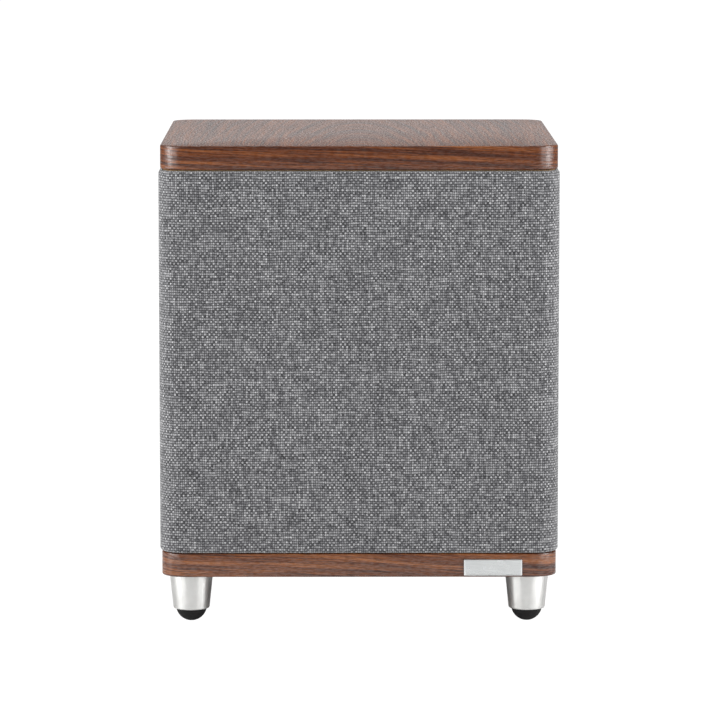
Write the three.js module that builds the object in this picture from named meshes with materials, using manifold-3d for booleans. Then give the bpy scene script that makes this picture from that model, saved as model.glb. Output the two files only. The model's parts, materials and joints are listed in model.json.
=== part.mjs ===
// A compact active subwoofer: a cloth-wrapped box between two walnut plates, on four metal feet.
// It holds one driver that faces the floor, and a plate amplifier in its rear wall.
// Millimetres, +Z up. The front faces -Y. The floor is z = 0, and the group is moved at the end so
// that the middle of its outer box is over the origin.
import * as THREE from "three";
import { mergeVertices } from "three/addons/utils/BufferGeometryUtils.js";
import Module from "manifold-3d";

const wasm = await Module();
wasm.setup();

// ---------- driving dimensions ----------
const GAP = 0.3; // clearance between pieces that touch
const RING_SEGMENTS = 32; // round the driver's large rings

// the two walnut plates and the box between them
const SIDE = 300; // width and depth of the plates
const BOARD = 18; // thickness of plates and walls
const PLATE_CORNER = 18; // radius of the plates' upright corners
const PLATE_EDGE = 1; // softened edge all round the plates
const BOX_HEIGHT = 291.5; // from the base plate's top to the lid's underside
const CLOTH_PROUD = 1.4; // how far the cloth stands out past the plates
const CLOTH_THICK = 1.5;
const SHADOW_GAP = 1; // open line between the cloth and the lid
const LOWER_GAP = 0.4; // between the cloth and the base plate
const WALL_ROLL = 2.5; // chamfer at the walls' ends, which the cloth rolls over

// feet
const PAD_HEIGHT = 9.4;
const PAD_RADIUS = 11.35;
const DOME_RADIUS = 11.9; // of the pad's round underside
const DOME_FLAT = 3; // radius of the flat that rests on the floor
const SLEEVE_HEIGHT = 27.1;
const FOOT_INSET = 22; // from a foot's centre to the plate's edge
const BOLT_RADIUS = 4;
const BOLT_DEPTH = 14; // how far a foot's bolt reaches into the base plate

// the driver
const FRAME_RADIUS = 105.5; // outside of the basket's flange
const CUTOUT_RADIUS = 93.5; // hole in the base plate
const REBATE = 8.5; // depth of the seat for the flange, from below
const SCREW_CIRCLE = 100.8;
const SCREW_COUNT = 8;
const SCREW_HOLE = 2.4; // radius
const CONE_RADIUS = 74.3;
const COIL_RADIUS = 18.8; // outside of the voice coil's former
const MAGNET_RADIUS = 60;

// the amplifier's plate, and what stands on it
const AMP_WIDTH = 160;
const AMP_HEIGHT = 210;
const AMP_THICK = 3;
const AMP_LEVEL = 200; // height of the plate's middle over the floor
const AMP_BORDER = 10; // overlap of the plate on the wall, each side
const GASKET_THICK = 1.3;
const KNOB_RADIUS = 11;
const KNOB_LENGTH = 10;
const KNOB_CLEAR = 0.9;
const KNOB_POSITIONS = { volume: -40, crossover: 40 }; // across the plate, seen from behind
const KNOB_LEVEL = 70; // over the plate's middle
const BUSH_RADIUS = 4.4; // of the potentiometers
const JACK_OFFSET = 11;
const JACK_LEVEL = 25;
const JACK_RADIUS = 5.6;
const LED_LEVEL = 92;
const LED_RADIUS = 2.4;
const MAINS_LEVEL = -72;
const INLET_OFFSET = -36;
const SWITCH_OFFSET = 36;
const ROCKER_TILT = 8; // degrees each side of square
const PHASE_TRAVEL = 4;
const CIRCUIT_DEPTH = 28.5; // from the plate's outer face to the circuit board's inner face

// ---------- levels and faces that follow from them ----------
const BASE_BOTTOM = PAD_HEIGHT + SLEEVE_HEIGHT;
const BASE_TOP = BASE_BOTTOM + BOARD;
const LID_BOTTOM = BASE_TOP + BOX_HEIGHT;
const HALF = SIDE / 2;
const FOOT_OFFSET = HALF - FOOT_INSET;
const CLOTH_FACE = HALF + CLOTH_PROUD;
const WALL_FACE = CLOTH_FACE - CLOTH_THICK - GAP;
const WALL_INSIDE = WALL_FACE - BOARD;
const AMP_FACE = WALL_FACE + GASKET_THICK + 2 * GAP + AMP_THICK;
const REAR_REACH = AMP_FACE + KNOB_CLEAR + KNOB_LENGTH;

// ---------- finishes ----------
const FINISHES = {
  walnut: [0x67422e, 0.5, 0],
  fibreboard: [0x9a7a55, 0.85, 0],
  cloth: [0x717173, 0.95, 0],
  wadding: [0xd9d6cf, 1, 0],
  satinAluminium: [0xcccccb, 0.3, 1],
  badgeMetal: [0xcdcfcf, 0.35, 1],
  rubber: [0x1d1c1c, 0.7, 0],
  steel: [0x8c8f92, 0.35, 1],
  blackSteel: [0x202122, 0.45, 0.6],
  ferrite: [0x3a3a3c, 0.8, 0],
  paper: [0x1b1b1c, 0.8, 0],
  spiderCloth: [0xb0894a, 0.9, 0],
  copper: [0xa8602f, 0.35, 1],
  kapton: [0x8a5a20, 0.4, 0],
  blackPlastic: [0x151516, 0.45, 0],
  blackAluminium: [0x1a1a1b, 0.4, 0.7],
  circuitGreen: [0x1f5a34, 0.5, 0],
  gold: [0xc9a24a, 0.3, 1],
  redLens: [0xb01810, 0.2, 0],
  glass: [0xd8dcdc, 0.1, 0],
};

function finish(name) {
  const [color, roughness, metalness] = FINISHES[name];
  return new THREE.MeshStandardMaterial({ name, color, roughness, metalness });
}

// A named mesh in a group.
function add(group, name, geometry, finishName) {
  const mesh = new THREE.Mesh(geometry, finish(finishName));
  mesh.name = name;
  group.add(mesh);
  return mesh;
}

// ---------- shapes ----------
function roundedRectangle(width, height, radius) {
  const x = width / 2 - radius;
  const y = height / 2 - radius;
  const shape = new THREE.Shape();
  shape.absarc(x, -y, radius, -Math.PI / 2, 0);
  shape.absarc(x, y, radius, 0, Math.PI / 2);
  shape.absarc(-x, y, radius, Math.PI / 2, Math.PI);
  shape.absarc(-x, -y, radius, Math.PI, 1.5 * Math.PI);
  return shape;
}

function polygon(points) {
  return new THREE.Shape(points.map(([x, y]) => new THREE.Vector2(x, y)));
}

// A shape raised along Z from a level, with an optional softened edge at both ends.
function raise(shape, level, height, edge = 0, curveSegments = 6) {
  const geometry = new THREE.ExtrudeGeometry(shape, {
    depth: height - 2 * edge,
    curveSegments,
    bevelEnabled: edge > 0,
    bevelThickness: edge,
    bevelSize: edge,
    bevelOffset: -edge,
    bevelSegments: 1,
  });
  return geometry.translate(0, 0, level + edge);
}

function block(width, depth, height, x, y, level) {
  return new THREE.BoxGeometry(width, depth, height).translate(x, y, level + height / 2);
}

function cylinder(radius, level, height, segments = 24, x = 0, y = 0) {
  return new THREE.CylinderGeometry(radius, radius, height, segments)
    .rotateX(Math.PI / 2)
    .translate(x, y, level + height / 2);
}

// A body of revolution about Z. The profile is a list of [radius, z]; a ring's profile is closed
// here, and a solid's starts and ends on the axis.
function turn(profile, segments = 32) {
  const points = profile.map(([r, z]) => new THREE.Vector2(r, z));
  if (profile[0][0] > 0) points.push(points[0].clone());
  const area = points.reduce((sum, p, i) => {
    const q = points[(i + 1) % points.length];
    return sum + p.x * q.y - q.x * p.y;
  }, 0);
  if (area < 0) points.reverse();
  return new THREE.LatheGeometry(points, segments).rotateX(Math.PI / 2);
}

// Points of an arc, for a profile.
function arc(x, y, radius, startDegrees, endDegrees, steps) {
  return Array.from({ length: steps + 1 }, (_, i) => {
    const angle = THREE.MathUtils.degToRad(
      startDegrees + ((endDegrees - startDegrees) * i) / steps,
    );
    return [x + radius * Math.cos(angle), y + radius * Math.sin(angle)];
  });
}

// ---------- cutting and joining ----------
function solid(geometry) {
  const bare = geometry.clone();
  bare.deleteAttribute("normal");
  bare.deleteAttribute("uv");
  const merged = mergeVertices(bare, 1e-4);
  return new wasm.Manifold(
    new wasm.Mesh({
      numProp: 3,
      vertProperties: merged.attributes.position.array,
      triVerts: new Uint32Array(merged.index.array),
    }),
  );
}

function geometryOf(manifold) {
  const { vertProperties, triVerts } = manifold.getMesh();
  const geometry = new THREE.BufferGeometry();
  geometry.setAttribute("position", new THREE.BufferAttribute(vertProperties, 3));
  geometry.setIndex(new THREE.BufferAttribute(triVerts, 1));
  geometry.computeVertexNormals();
  return geometry;
}

function cut(geometry, ...tools) {
  return geometryOf(tools.reduce((body, tool) => body.subtract(solid(tool)), solid(geometry)));
}

function join(...geometries) {
  return geometryOf(geometries.map(solid).reduce((body, other) => body.add(other)));
}

function common(geometry, other) {
  return geometryOf(solid(geometry).intersect(solid(other)));
}

// ---------- the cabinet ----------
const CORNERS = [
  ["front_left", -1, -1],
  ["front_right", 1, -1],
  ["rear_left", -1, 1],
  ["rear_right", 1, 1],
];

function buildPlates(group) {
  const outline = roundedRectangle(SIDE, SIDE, PLATE_CORNER);
  add(group, "lid_panel", raise(outline, LID_BOTTOM, BOARD, PLATE_EDGE), "walnut");

  const boltHoles = CORNERS.map(([, sx, sy]) =>
    cylinder(
      BOLT_RADIUS + GAP,
      BASE_BOTTOM - 1,
      BOLT_DEPTH + 1 + GAP,
      12,
      sx * FOOT_OFFSET,
      sy * FOOT_OFFSET,
    ),
  );
  const base = cut(
    raise(outline, BASE_BOTTOM, BOARD, PLATE_EDGE),
    cylinder(CUTOUT_RADIUS, BASE_BOTTOM - 1, BOARD + 2, RING_SEGMENTS),
    cylinder(FRAME_RADIUS + 1, BASE_BOTTOM - 1, REBATE + 1, RING_SEGMENTS),
    ...boltHoles,
  );
  add(group, "base_panel", base, "walnut");
}

// The four walls are cut from one round-cornered block, so that their outer faces run on.
function buildWalls(group) {
  const height = BOX_HEIGHT - 2 * GAP;
  const level = BASE_TOP + GAP;
  const radius = PLATE_CORNER - (HALF - WALL_FACE);
  const width = 2 * WALL_FACE;
  const whole = raise(roundedRectangle(width, width, radius), level, height, WALL_ROLL);
  const middle = WALL_FACE - BOARD / 2;
  const faceSlab = (side) => block(width + 2, BOARD, height + 2, 0, side * middle, level - 1);
  const sideLength = 2 * (WALL_INSIDE - GAP);
  const sideSlab = (side) => block(BOARD, sideLength, height + 2, side * middle, 0, level - 1);

  add(group, "front_panel", common(whole, faceSlab(-1)), "fibreboard");
  const ampHole = block(
    AMP_WIDTH - 2 * AMP_BORDER,
    BOARD * 2,
    AMP_HEIGHT - 2 * AMP_BORDER,
    0,
    middle,
    AMP_LEVEL - AMP_HEIGHT / 2 + AMP_BORDER,
  );
  add(group, "back_panel", cut(common(whole, faceSlab(1)), ampHole), "fibreboard");
  add(group, "left_panel", common(whole, sideSlab(-1)), "fibreboard");
  add(group, "right_panel", common(whole, sideSlab(1)), "fibreboard");
}

function buildInside(group) {
  const braceHeight = 30;
  const braceLevel = 215;
  const braceLength = 2 * (WALL_INSIDE - GAP);
  const brace = block(braceLength, BOARD, braceHeight, 0, 0, braceLevel);
  add(group, "cross_brace", brace, "fibreboard");

  const [padWidth, padThick, padHeight, padLevel] = [240, 20, 190, 138];
  const padY = -(WALL_INSIDE - GAP - padThick / 2);
  add(group, "wadding_pad", block(padWidth, padThick, padHeight, 0, padY, padLevel), "wadding");
}

function buildSleeve(group) {
  const level = BASE_TOP + LOWER_GAP;
  const height = BOX_HEIGHT - LOWER_GAP - SHADOW_GAP;
  const outer = 2 * CLOTH_FACE;
  const inner = outer - 2 * CLOTH_THICK;
  const outerRadius = PLATE_CORNER + CLOTH_PROUD;
  const opening = block(
    AMP_WIDTH + 2,
    4 * CLOTH_THICK,
    AMP_HEIGHT + 2,
    0,
    CLOTH_FACE,
    AMP_LEVEL - AMP_HEIGHT / 2 - 1,
  );
  const sleeve = cut(
    raise(roundedRectangle(outer, outer, outerRadius), level, height, PLATE_EDGE),
    raise(roundedRectangle(inner, inner, outerRadius - CLOTH_THICK), level - 1, height + 2),
    opening,
  );
  add(group, "fabric_sleeve", sleeve, "cloth");
}

function buildBadge(group) {
  const [width, height, thick] = [44.2, 12.4, 1];
  const [x, level] = [101.5, BASE_BOTTOM + 1.2];
  const badge = raise(roundedRectangle(width, height, 0.6), 0, thick, 0.35, 3);
  badge.rotateX(Math.PI / 2).translate(x, -HALF - GAP, level + height / 2);
  add(group, "badge", badge, "badgeMetal");
}

// ---------- the feet ----------
function buildFeet(group) {
  const sleeveTop = BASE_BOTTOM - GAP;
  const [topRadius, lowRadius, rimRadius] = [16.45, 13.9, 13];
  const [overHead, headRadius, headHeight] = [6.5, 6.5, 7]; // of the bolt's head
  const headSeat = BASE_BOTTOM - overHead;
  const [pocketRadius, boltHole] = [7.5, BOLT_RADIUS + GAP];
  const sleeveProfile = [
    [pocketRadius, PAD_HEIGHT],
    [rimRadius, PAD_HEIGHT],
    [lowRadius, PAD_HEIGHT + 1.4],
    [topRadius, sleeveTop - 0.5],
    [topRadius - 0.5, sleeveTop],
    [boltHole, sleeveTop],
    [boltHole, headSeat],
    [pocketRadius, headSeat],
  ];
  const plugRadius = pocketRadius - GAP;
  const plugTop = headSeat - headHeight - 2 * GAP;
  const domeCentre = Math.sqrt(DOME_RADIUS ** 2 - DOME_FLAT ** 2);
  const domeStart = -THREE.MathUtils.radToDeg(Math.acos(DOME_FLAT / DOME_RADIUS));
  const domeEnd = -THREE.MathUtils.radToDeg(Math.acos(PAD_RADIUS / DOME_RADIUS));
  const dome = arc(0, domeCentre, DOME_RADIUS, domeStart, domeEnd, 6);
  dome[0][1] = 0;
  const padProfile = [
    [0, 0],
    ...dome,
    [PAD_RADIUS, PAD_HEIGHT - GAP],
    [plugRadius, PAD_HEIGHT - GAP],
    [plugRadius, plugTop],
    [0, plugTop],
  ];
  const headLevel = headSeat - GAP - headHeight;
  const boltProfile = [
    [0, headLevel],
    [headRadius, headLevel],
    [headRadius, headLevel + headHeight],
    [BOLT_RADIUS, headLevel + headHeight],
    [BOLT_RADIUS, BASE_BOTTOM + BOLT_DEPTH],
    [0, BASE_BOTTOM + BOLT_DEPTH],
  ];
  const parts = [
    ["foot_sleeve", sleeveProfile, 20, "satinAluminium"],
    ["foot_pad", padProfile, 16, "rubber"],
    ["foot_bolt", boltProfile, 12, "steel"],
  ];
  for (const [corner, sx, sy] of CORNERS) {
    for (const [piece, profile, segments, finishName] of parts) {
      const mesh = add(group, `${piece}_${corner}`, turn(profile, segments), finishName);
      mesh.position.set(sx * FOOT_OFFSET, sy * FOOT_OFFSET, 0);
    }
  }
}

// ---------- the driver, facing down, on the axis through the base plate ----------
const FLANGE_BOTTOM = BASE_BOTTOM + 3.7;
const FLANGE_TOP = FLANGE_BOTTOM + 3;
const SPIDER_LEVEL = FLANGE_BOTTOM + 43.5;
const MOTOR_FACE = FLANGE_BOTTOM + 54;
const TOP_PLATE_THICK = 8;
const MAGNET_THICK = 20;
const YOKE_THICK = 8;

const BASKET_LOW = [92.5, FLANGE_BOTTOM + 7.8]; // ends of the basket's sloping wall
const BASKET_HIGH = [57, FLANGE_BOTTOM + 50.8];

// Outside of the basket's sloping wall, at a level.
function basketRadius(z) {
  const along = (z - BASKET_LOW[1]) / (BASKET_HIGH[1] - BASKET_LOW[1]);
  return THREE.MathUtils.lerp(BASKET_LOW[0], BASKET_HIGH[0], along);
}

function buildBasket(group) {
  const f = FLANGE_BOTTOM;
  const [inside, seat] = [89.8, MOTOR_FACE - GAP]; // inside of the flange, and the motor's seat
  const [backHole, ledgeInner, ledgeOuter] = [27, 50, 59];
  const profile = [
    [FRAME_RADIUS, f],
    [FRAME_RADIUS, FLANGE_TOP],
    [BASKET_LOW[0], FLANGE_TOP],
    BASKET_LOW,
    BASKET_HIGH,
    [BASKET_HIGH[0], seat],
    [backHole, seat],
    [backHole, BASKET_HIGH[1]],
    [ledgeInner, BASKET_HIGH[1]],
    [ledgeInner, SPIDER_LEVEL + 0.8],
    [ledgeOuter, SPIDER_LEVEL + 0.8],
    [inside, BASKET_LOW[1] - 0.8],
    [inside, f],
  ];
  const windowHalf = THREE.MathUtils.degToRad(23);
  const [windowOuter, windowInner, windowHeight] = [110, 40, 28];
  const windowShape = new THREE.Shape();
  windowShape.absarc(0, 0, windowOuter, -windowHalf, windowHalf);
  windowShape.absarc(0, 0, windowInner, windowHalf, -windowHalf, true);
  const windows = [0, 60, 120, 180, 240, 300].map((degrees) =>
    raise(windowShape, BASKET_LOW[1] + 5, windowHeight, 0, 4).rotateZ(
      THREE.MathUtils.degToRad(degrees),
    ),
  );
  const screwHoles = Array.from({ length: SCREW_COUNT }, (_, i) => {
    const angle = (2 * Math.PI * (i + 0.5)) / SCREW_COUNT;
    const [x, y] = [SCREW_CIRCLE * Math.cos(angle), SCREW_CIRCLE * Math.sin(angle)];
    return cylinder(SCREW_HOLE, f - 1, FLANGE_TOP - f + 2, 8, x, y);
  });
  add(group, "basket", cut(turn(profile, RING_SEGMENTS), ...windows, ...screwHoles), "blackSteel");

  // The strip is trimmed to the slope it stands on.
  const [stripLevel, stripHeight, stripDepth, stripY] = [f + 25.8, 12, 16, 76];
  const bladeY = stripY + stripDepth / 2 + 3.5;
  const blade = (x) => block(1.2, 9, stripHeight / 2, x, bladeY, stripLevel + 3);
  const top = f + 50;
  const wall = [
    [0, f],
    [basketRadius(f) + GAP, f],
    [basketRadius(top) + GAP, top],
    [0, top],
  ];
  const body = block(18, stripDepth, stripHeight, 0, stripY, stripLevel);
  const strip = cut(join(body, blade(-5), blade(5)), turn(wall, RING_SEGMENTS));
  add(group, "terminal_strip", strip, "blackPlastic");
}

function buildRings(group) {
  const gasketLevel = FLANGE_TOP + GAP;
  const gasketTop = gasketLevel + 1.2;
  const [gasketInner, gasketOuter] = [CUTOUT_RADIUS + 0.5, FRAME_RADIUS - 0.5];
  const gasket = [
    [gasketInner, gasketLevel],
    [gasketOuter, gasketLevel],
    [gasketOuter, gasketTop],
    [gasketInner, gasketTop],
  ];
  add(group, "driver_gasket", turn(gasket, RING_SEGMENTS), "rubber");
  const trimLevel = BASE_BOTTOM + 0.5;
  const [trimInner, trimOuter, trimEdge, trimThick] = [89.6, 96, 0.8, 1.6];
  const trim = [
    [trimInner, trimLevel + trimEdge],
    [trimInner + trimEdge, trimLevel],
    [trimOuter - trimEdge, trimLevel],
    [trimOuter, trimLevel + trimEdge],
    [trimOuter, trimLevel + trimThick],
    [trimInner, trimLevel + trimThick],
  ];
  add(group, "trim_ring", turn(trim, RING_SEGMENTS), "rubber");
}

// The half roll between the trim ring and the cone, bulging towards the floor.
function buildSurround(group) {
  const [low, high] = [FLANGE_BOTTOM - 1.3, FLANGE_BOTTOM - GAP];
  const rollRadius = 6.9;
  const middle = CONE_RADIUS + rollRadius;
  const [lipOuter, lipInner] = [95.5, CONE_RADIUS - 4.3];
  const profile = [
    [lipOuter, low],
    [lipOuter, high],
    ...arc(middle, high, rollRadius - 0.5, 0, -180, 6),
    [lipInner, high],
    [lipInner, low],
    ...arc(middle, low, rollRadius + 0.5, -180, 0, 6),
  ];
  add(group, "surround", turn(profile, RING_SEGMENTS), "rubber");
}

function buildCone(group) {
  const rim = FLANGE_BOTTOM;
  const neckRadius = COIL_RADIUS + GAP;
  const neckLevel = rim + 36.2;
  const [flareRadius, paper] = [69.4, 1.5]; // where the rim's flat ends, and the cone's thickness
  const cone = [
    [CONE_RADIUS, rim],
    [CONE_RADIUS, rim + 1.2],
    [flareRadius + paper, rim + 1.4],
    [neckRadius + 1.2, neckLevel],
    [neckRadius, neckLevel],
    [neckRadius, neckLevel - 2],
    [flareRadius, rim],
  ];
  add(group, "cone", turn(cone, RING_SEGMENTS), "paper");

  const [capRadius, capRise, capThick] = [31.5, 11, 1.2];
  const sphere = (capRadius ** 2 + capRise ** 2) / (2 * capRise);
  const capEdge = rim + 25.2;
  const centre = capEdge + sphere - capRise;
  const edgeAngle = THREE.MathUtils.radToDeg(Math.asin(capRadius / sphere));
  const cap = [
    ...arc(0, centre, sphere, -90, -90 + edgeAngle, 5),
    ...arc(0, centre, sphere - capThick, -90 + edgeAngle, -90, 5),
  ];
  cap[0][0] = 0;
  cap[cap.length - 1][0] = 0;
  add(group, "dust_cap", turn(cap, 24), "paper");

  const coilMiddle = MOTOR_FACE + TOP_PLATE_THICK / 2;
  const coilHalf = 11;
  const tube = (inner, outer, low, high) =>
    turn([
      [inner, low],
      [outer, low],
      [outer, high],
      [inner, high],
    ]);
  const former = tube(COIL_RADIUS - 0.6, COIL_RADIUS, capEdge + 0.8, coilMiddle + coilHalf);
  add(group, "coil_former", former, "kapton");
  const coil = tube(
    COIL_RADIUS + GAP,
    COIL_RADIUS + 1.6,
    coilMiddle - coilHalf,
    coilMiddle + coilHalf,
  );
  add(group, "voice_coil", coil, "copper");
}

// The corrugated disc that centres the coil.
function buildSpider(group) {
  const [inner, outer] = [COIL_RADIUS + GAP, 58];
  const [waveStart, waveEnd, waves] = [24, 49, 3];
  const [height, thick] = [1.4, 0.8];
  const steps = waves * 4;
  const wave = Array.from({ length: steps + 1 }, (_, i) => [
    waveStart + ((waveEnd - waveStart) * i) / steps,
    SPIDER_LEVEL + height * Math.sin((i * Math.PI) / 2),
  ]);
  const top = [[inner, SPIDER_LEVEL], ...wave, [outer, SPIDER_LEVEL]];
  const bottom = top.map(([r, z]) => [r, z - thick]).reverse();
  add(group, "spider", turn([...top, ...bottom], 20), "spiderCloth");
}

function buildMotor(group) {
  const plateTop = MOTOR_FACE + TOP_PLATE_THICK;
  const magnetBottom = plateTop + GAP;
  const magnetTop = magnetBottom + MAGNET_THICK;
  const yokeBottom = magnetTop + GAP;
  const plateRadius = MAGNET_RADIUS - 5;
  const [coilHole, magnetHole] = [COIL_RADIUS + 2.4, 32];
  const [poleRadius, ventRadius] = [COIL_RADIUS - 1.2, 5];
  const plate = [
    [coilHole, MOTOR_FACE],
    [plateRadius, MOTOR_FACE],
    [plateRadius, plateTop],
    [coilHole, plateTop],
  ];
  add(group, "top_plate", turn(plate, 40), "steel");
  const magnet = [
    [magnetHole, magnetBottom],
    [MAGNET_RADIUS - 1, magnetBottom],
    [MAGNET_RADIUS, magnetBottom + 1],
    [MAGNET_RADIUS, magnetTop - 1],
    [MAGNET_RADIUS - 1, magnetTop],
    [magnetHole, magnetTop],
  ];
  add(group, "magnet_ring", turn(magnet, 40), "ferrite");
  const yoke = [
    [ventRadius, MOTOR_FACE],
    [poleRadius, MOTOR_FACE],
    [poleRadius, yokeBottom],
    [plateRadius, yokeBottom],
    [plateRadius, yokeBottom + YOKE_THICK],
    [ventRadius, yokeBottom + YOKE_THICK],
  ];
  add(group, "pole_yoke", turn(yoke, 40), "steel");
}

// ---------- the amplifier ----------
// Its group is seen from behind: x to the right, y up, and z out of the cabinet, with the middle of
// the plate's outer face at zero.
const PLATE_BACK = -AMP_THICK;
const BEHIND = PLATE_BACK - GAP; // front of what stands against the plate's inner face

const INLET = {
  bezel: [31, 35],
  body: [26.6, 30.6],
  front: 2.8,
  back: -26,
  socket: [24.2, 16.6],
  socketLevel: 5.5,
  socketFloor: -14,
  drawer: [23.2, 8],
  drawerLevel: -10.6,
  drawerFloor: -16,
};
const ROCKER = { bezel: [30, 23], body: [27.4, 20.4], mouth: [24.6, 18.4], axis: -1.5 };
const PHASE_SLOT = [PHASE_TRAVEL + 5.4, 4.2];

function bar(width, height, x, y, back, front) {
  return block(width, height, front - back, x, y, back);
}

function buildPlate(group) {
  const outline = (border) =>
    roundedRectangle(AMP_WIDTH - 2 * border, AMP_HEIGHT - 2 * border, 6 - border);
  const through = [BEHIND - 2, 2];
  const hole = (radius, x, y) =>
    cylinder(radius, through[0], through[1] - through[0], 12, x, y);
  const window = ([width, height], x, y) =>
    bar(width + 2 * GAP, height + 2 * GAP, x, y, ...through);
  const plate = cut(
    raise(outline(0), PLATE_BACK, AMP_THICK, 0.5, 5),
    ...Object.values(KNOB_POSITIONS).map((x) => hole(BUSH_RADIUS + GAP, x, KNOB_LEVEL)),
    hole(JACK_RADIUS + GAP, -JACK_OFFSET, JACK_LEVEL),
    hole(JACK_RADIUS + GAP, JACK_OFFSET, JACK_LEVEL),
    hole(LED_RADIUS + GAP, 0, LED_LEVEL),
    window(INLET.body, INLET_OFFSET, MAINS_LEVEL),
    window(ROCKER.body, SWITCH_OFFSET, MAINS_LEVEL),
    bar(...PHASE_SLOT, 0, KNOB_LEVEL, ...through),
  );
  add(group, "amp_plate", plate, "blackAluminium");

  const gasketBack = BEHIND - GASKET_THICK;
  const opening = bar(
    AMP_WIDTH - 2 * AMP_BORDER + 2,
    AMP_HEIGHT - 2 * AMP_BORDER + 2,
    0,
    0,
    gasketBack - 1,
    0,
  );
  const gasket = cut(raise(outline(1), gasketBack, GASKET_THICK, 0, 4), opening);
  add(group, "plate_gasket", gasket, "rubber");
}

// The circuit board with its four posts, and the heavy parts on its inner face.
function buildElectronics(group) {
  const [width, low, high] = [126, -35, 93];
  const [postX, postLow, postHigh] = [58, -30, 88];
  const boardBack = -CIRCUIT_DEPTH;
  const boardFront = boardBack + 1.6;
  const posts = [-postX, postX].flatMap((x) =>
    [postLow, postHigh].map((y) => cylinder(3, boardFront - 0.5, BEHIND - boardFront + 0.5, 10, x, y)),
  );
  const board = join(bar(width, high - low, 0, (low + high) / 2, boardBack, boardFront), ...posts);
  add(group, "circuit_board", board, "circuitGreen");

  const face = boardBack - GAP; // front of what stands on the board's inner face
  const [coreX, coreWidth, coreHeight, coreDepth] = [-32, 44, 36, 30];
  const coilDepth = coreDepth - 8; // the winding stands out above and below the core
  const transformer = join(
    bar(coreWidth, coreHeight, coreX, 0, face - coreDepth, face),
    bar(coreWidth - 14, coreHeight + 8, coreX, 0, face - 4 - coilDepth, face - 4),
  );
  add(group, "transformer", transformer, "copper");

  const [canRadius, canLength] = [12.5, 40];
  const can = [
    [0, face - canLength],
    [canRadius - 1, face - canLength],
    [canRadius, face - canLength + 1],
    [canRadius, face],
    [0, face],
  ];
  for (const [name, x] of [
    ["capacitor_a", 16],
    ["capacitor_b", 46],
  ]) {
    add(group, name, turn(can, 24), "blackPlastic").position.set(x, 0, 0);
  }

  const [fins, finPitch, finThick, finLength] = [8, 12, 2.4, 22];
  const [sinkY, sinkHeight, sinkThick] = [58, 40, 4];
  const spread = (fins - 1) * finPitch;
  const sinkFace = face - sinkThick;
  const finBars = Array.from({ length: fins }, (_, i) =>
    bar(finThick, sinkHeight, i * finPitch - spread / 2, sinkY, sinkFace - finLength, sinkFace + 1),
  );
  const sink = join(bar(spread + finThick, sinkHeight, 0, sinkY, sinkFace, face), ...finBars);
  add(group, "heatsink", sink, "satinAluminium");
}

// A potentiometer with its spindle and knob, which turn together.
function buildControl(group, name, x) {
  const [bodySide, bodyDepth, spindle] = [17, 12, 3];
  const bushFront = 1.8;
  const boreBack = BEHIND - 9;
  const pot = cut(
    join(
      bar(bodySide, bodySide, 0, 0, BEHIND - bodyDepth, BEHIND),
      cylinder(BUSH_RADIUS, BEHIND - 1, bushFront - BEHIND + 1),
    ),
    cylinder(spindle + GAP, boreBack, bushFront - boreBack + 1),
  );
  const knobBack = KNOB_CLEAR;
  const knobFront = knobBack + KNOB_LENGTH;
  const boreFront = knobFront - 2;
  const recess = [BUSH_RADIUS + 1.2, bushFront + 1.2];
  const knobProfile = [
    [0, boreFront],
    [spindle + GAP, boreFront],
    [spindle + GAP, recess[1]],
    recess,
    [recess[0], knobBack],
    [KNOB_RADIUS, knobBack],
    [KNOB_RADIUS, knobFront - 1],
    [KNOB_RADIUS - 1, knobFront],
    [0, knobFront],
  ];
  const pointer = bar(1.6, 6, 0, KNOB_RADIUS - 4, knobFront - 0.8, knobFront + 1);
  const knob = cut(turn(knobProfile, 24), pointer);
  const shaftFront = boreFront - GAP;
  const shaftBack = boreBack + GAP;
  const pieces = [
    [`${name}_pot`, pot, "steel"],
    [`${name}_spindle`, cylinder(spindle, shaftBack, shaftFront - shaftBack, 16), "steel"],
    [`${name}_knob`, knob, "blackPlastic"],
  ];
  for (const [pieceName, geometry, finishName] of pieces) {
    add(group, pieceName, geometry, finishName).position.set(x, KNOB_LEVEL, 0);
  }
}

function buildPhaseSwitch(group) {
  const [bodyWidth, bodyHeight, bodyDepth, slotDepth] = [17, 9, 8, 4];
  const body = cut(
    bar(bodyWidth, bodyHeight, 0, KNOB_LEVEL, BEHIND - bodyDepth, BEHIND),
    bar(...PHASE_SLOT, 0, KNOB_LEVEL, BEHIND - slotDepth, BEHIND + 1),
  );
  add(group, "phase_switch", body, "steel");
  const slider = bar(4.6, 3.6, -PHASE_TRAVEL / 2, KNOB_LEVEL, BEHIND - slotDepth + GAP, 2);
  add(group, "phase_slider", slider, "blackPlastic");
}

function buildJacks(group) {
  for (const [name, x] of [
    ["jack_left", -JACK_OFFSET],
    ["jack_right", JACK_OFFSET],
  ]) {
    const [nut, shell, bore, shellFront] = [1.4, 4.2, 1.8, 9.5];
    const barrel = [
      [0, BEHIND - 1],
      [JACK_RADIUS, BEHIND - 1],
      [JACK_RADIUS, nut],
      [shell, nut],
      [shell, shellFront],
      [bore, shellFront],
      [bore, BEHIND],
      [0, BEHIND],
    ];
    const jack = join(bar(13, 13, 0, 0, BEHIND - 10, BEHIND), turn(barrel, 16));
    add(group, name, jack, "gold").position.set(x, JACK_LEVEL, 0);
  }
  const lens = [
    [0, -8],
    [LED_RADIUS, -8],
    [LED_RADIUS, 0.8],
    [LED_RADIUS - 0.8, 1.6],
    [0, 1.9],
  ];
  add(group, "status_led", turn(lens, 12), "redLens").position.set(0, LED_LEVEL, 0);
}

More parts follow.
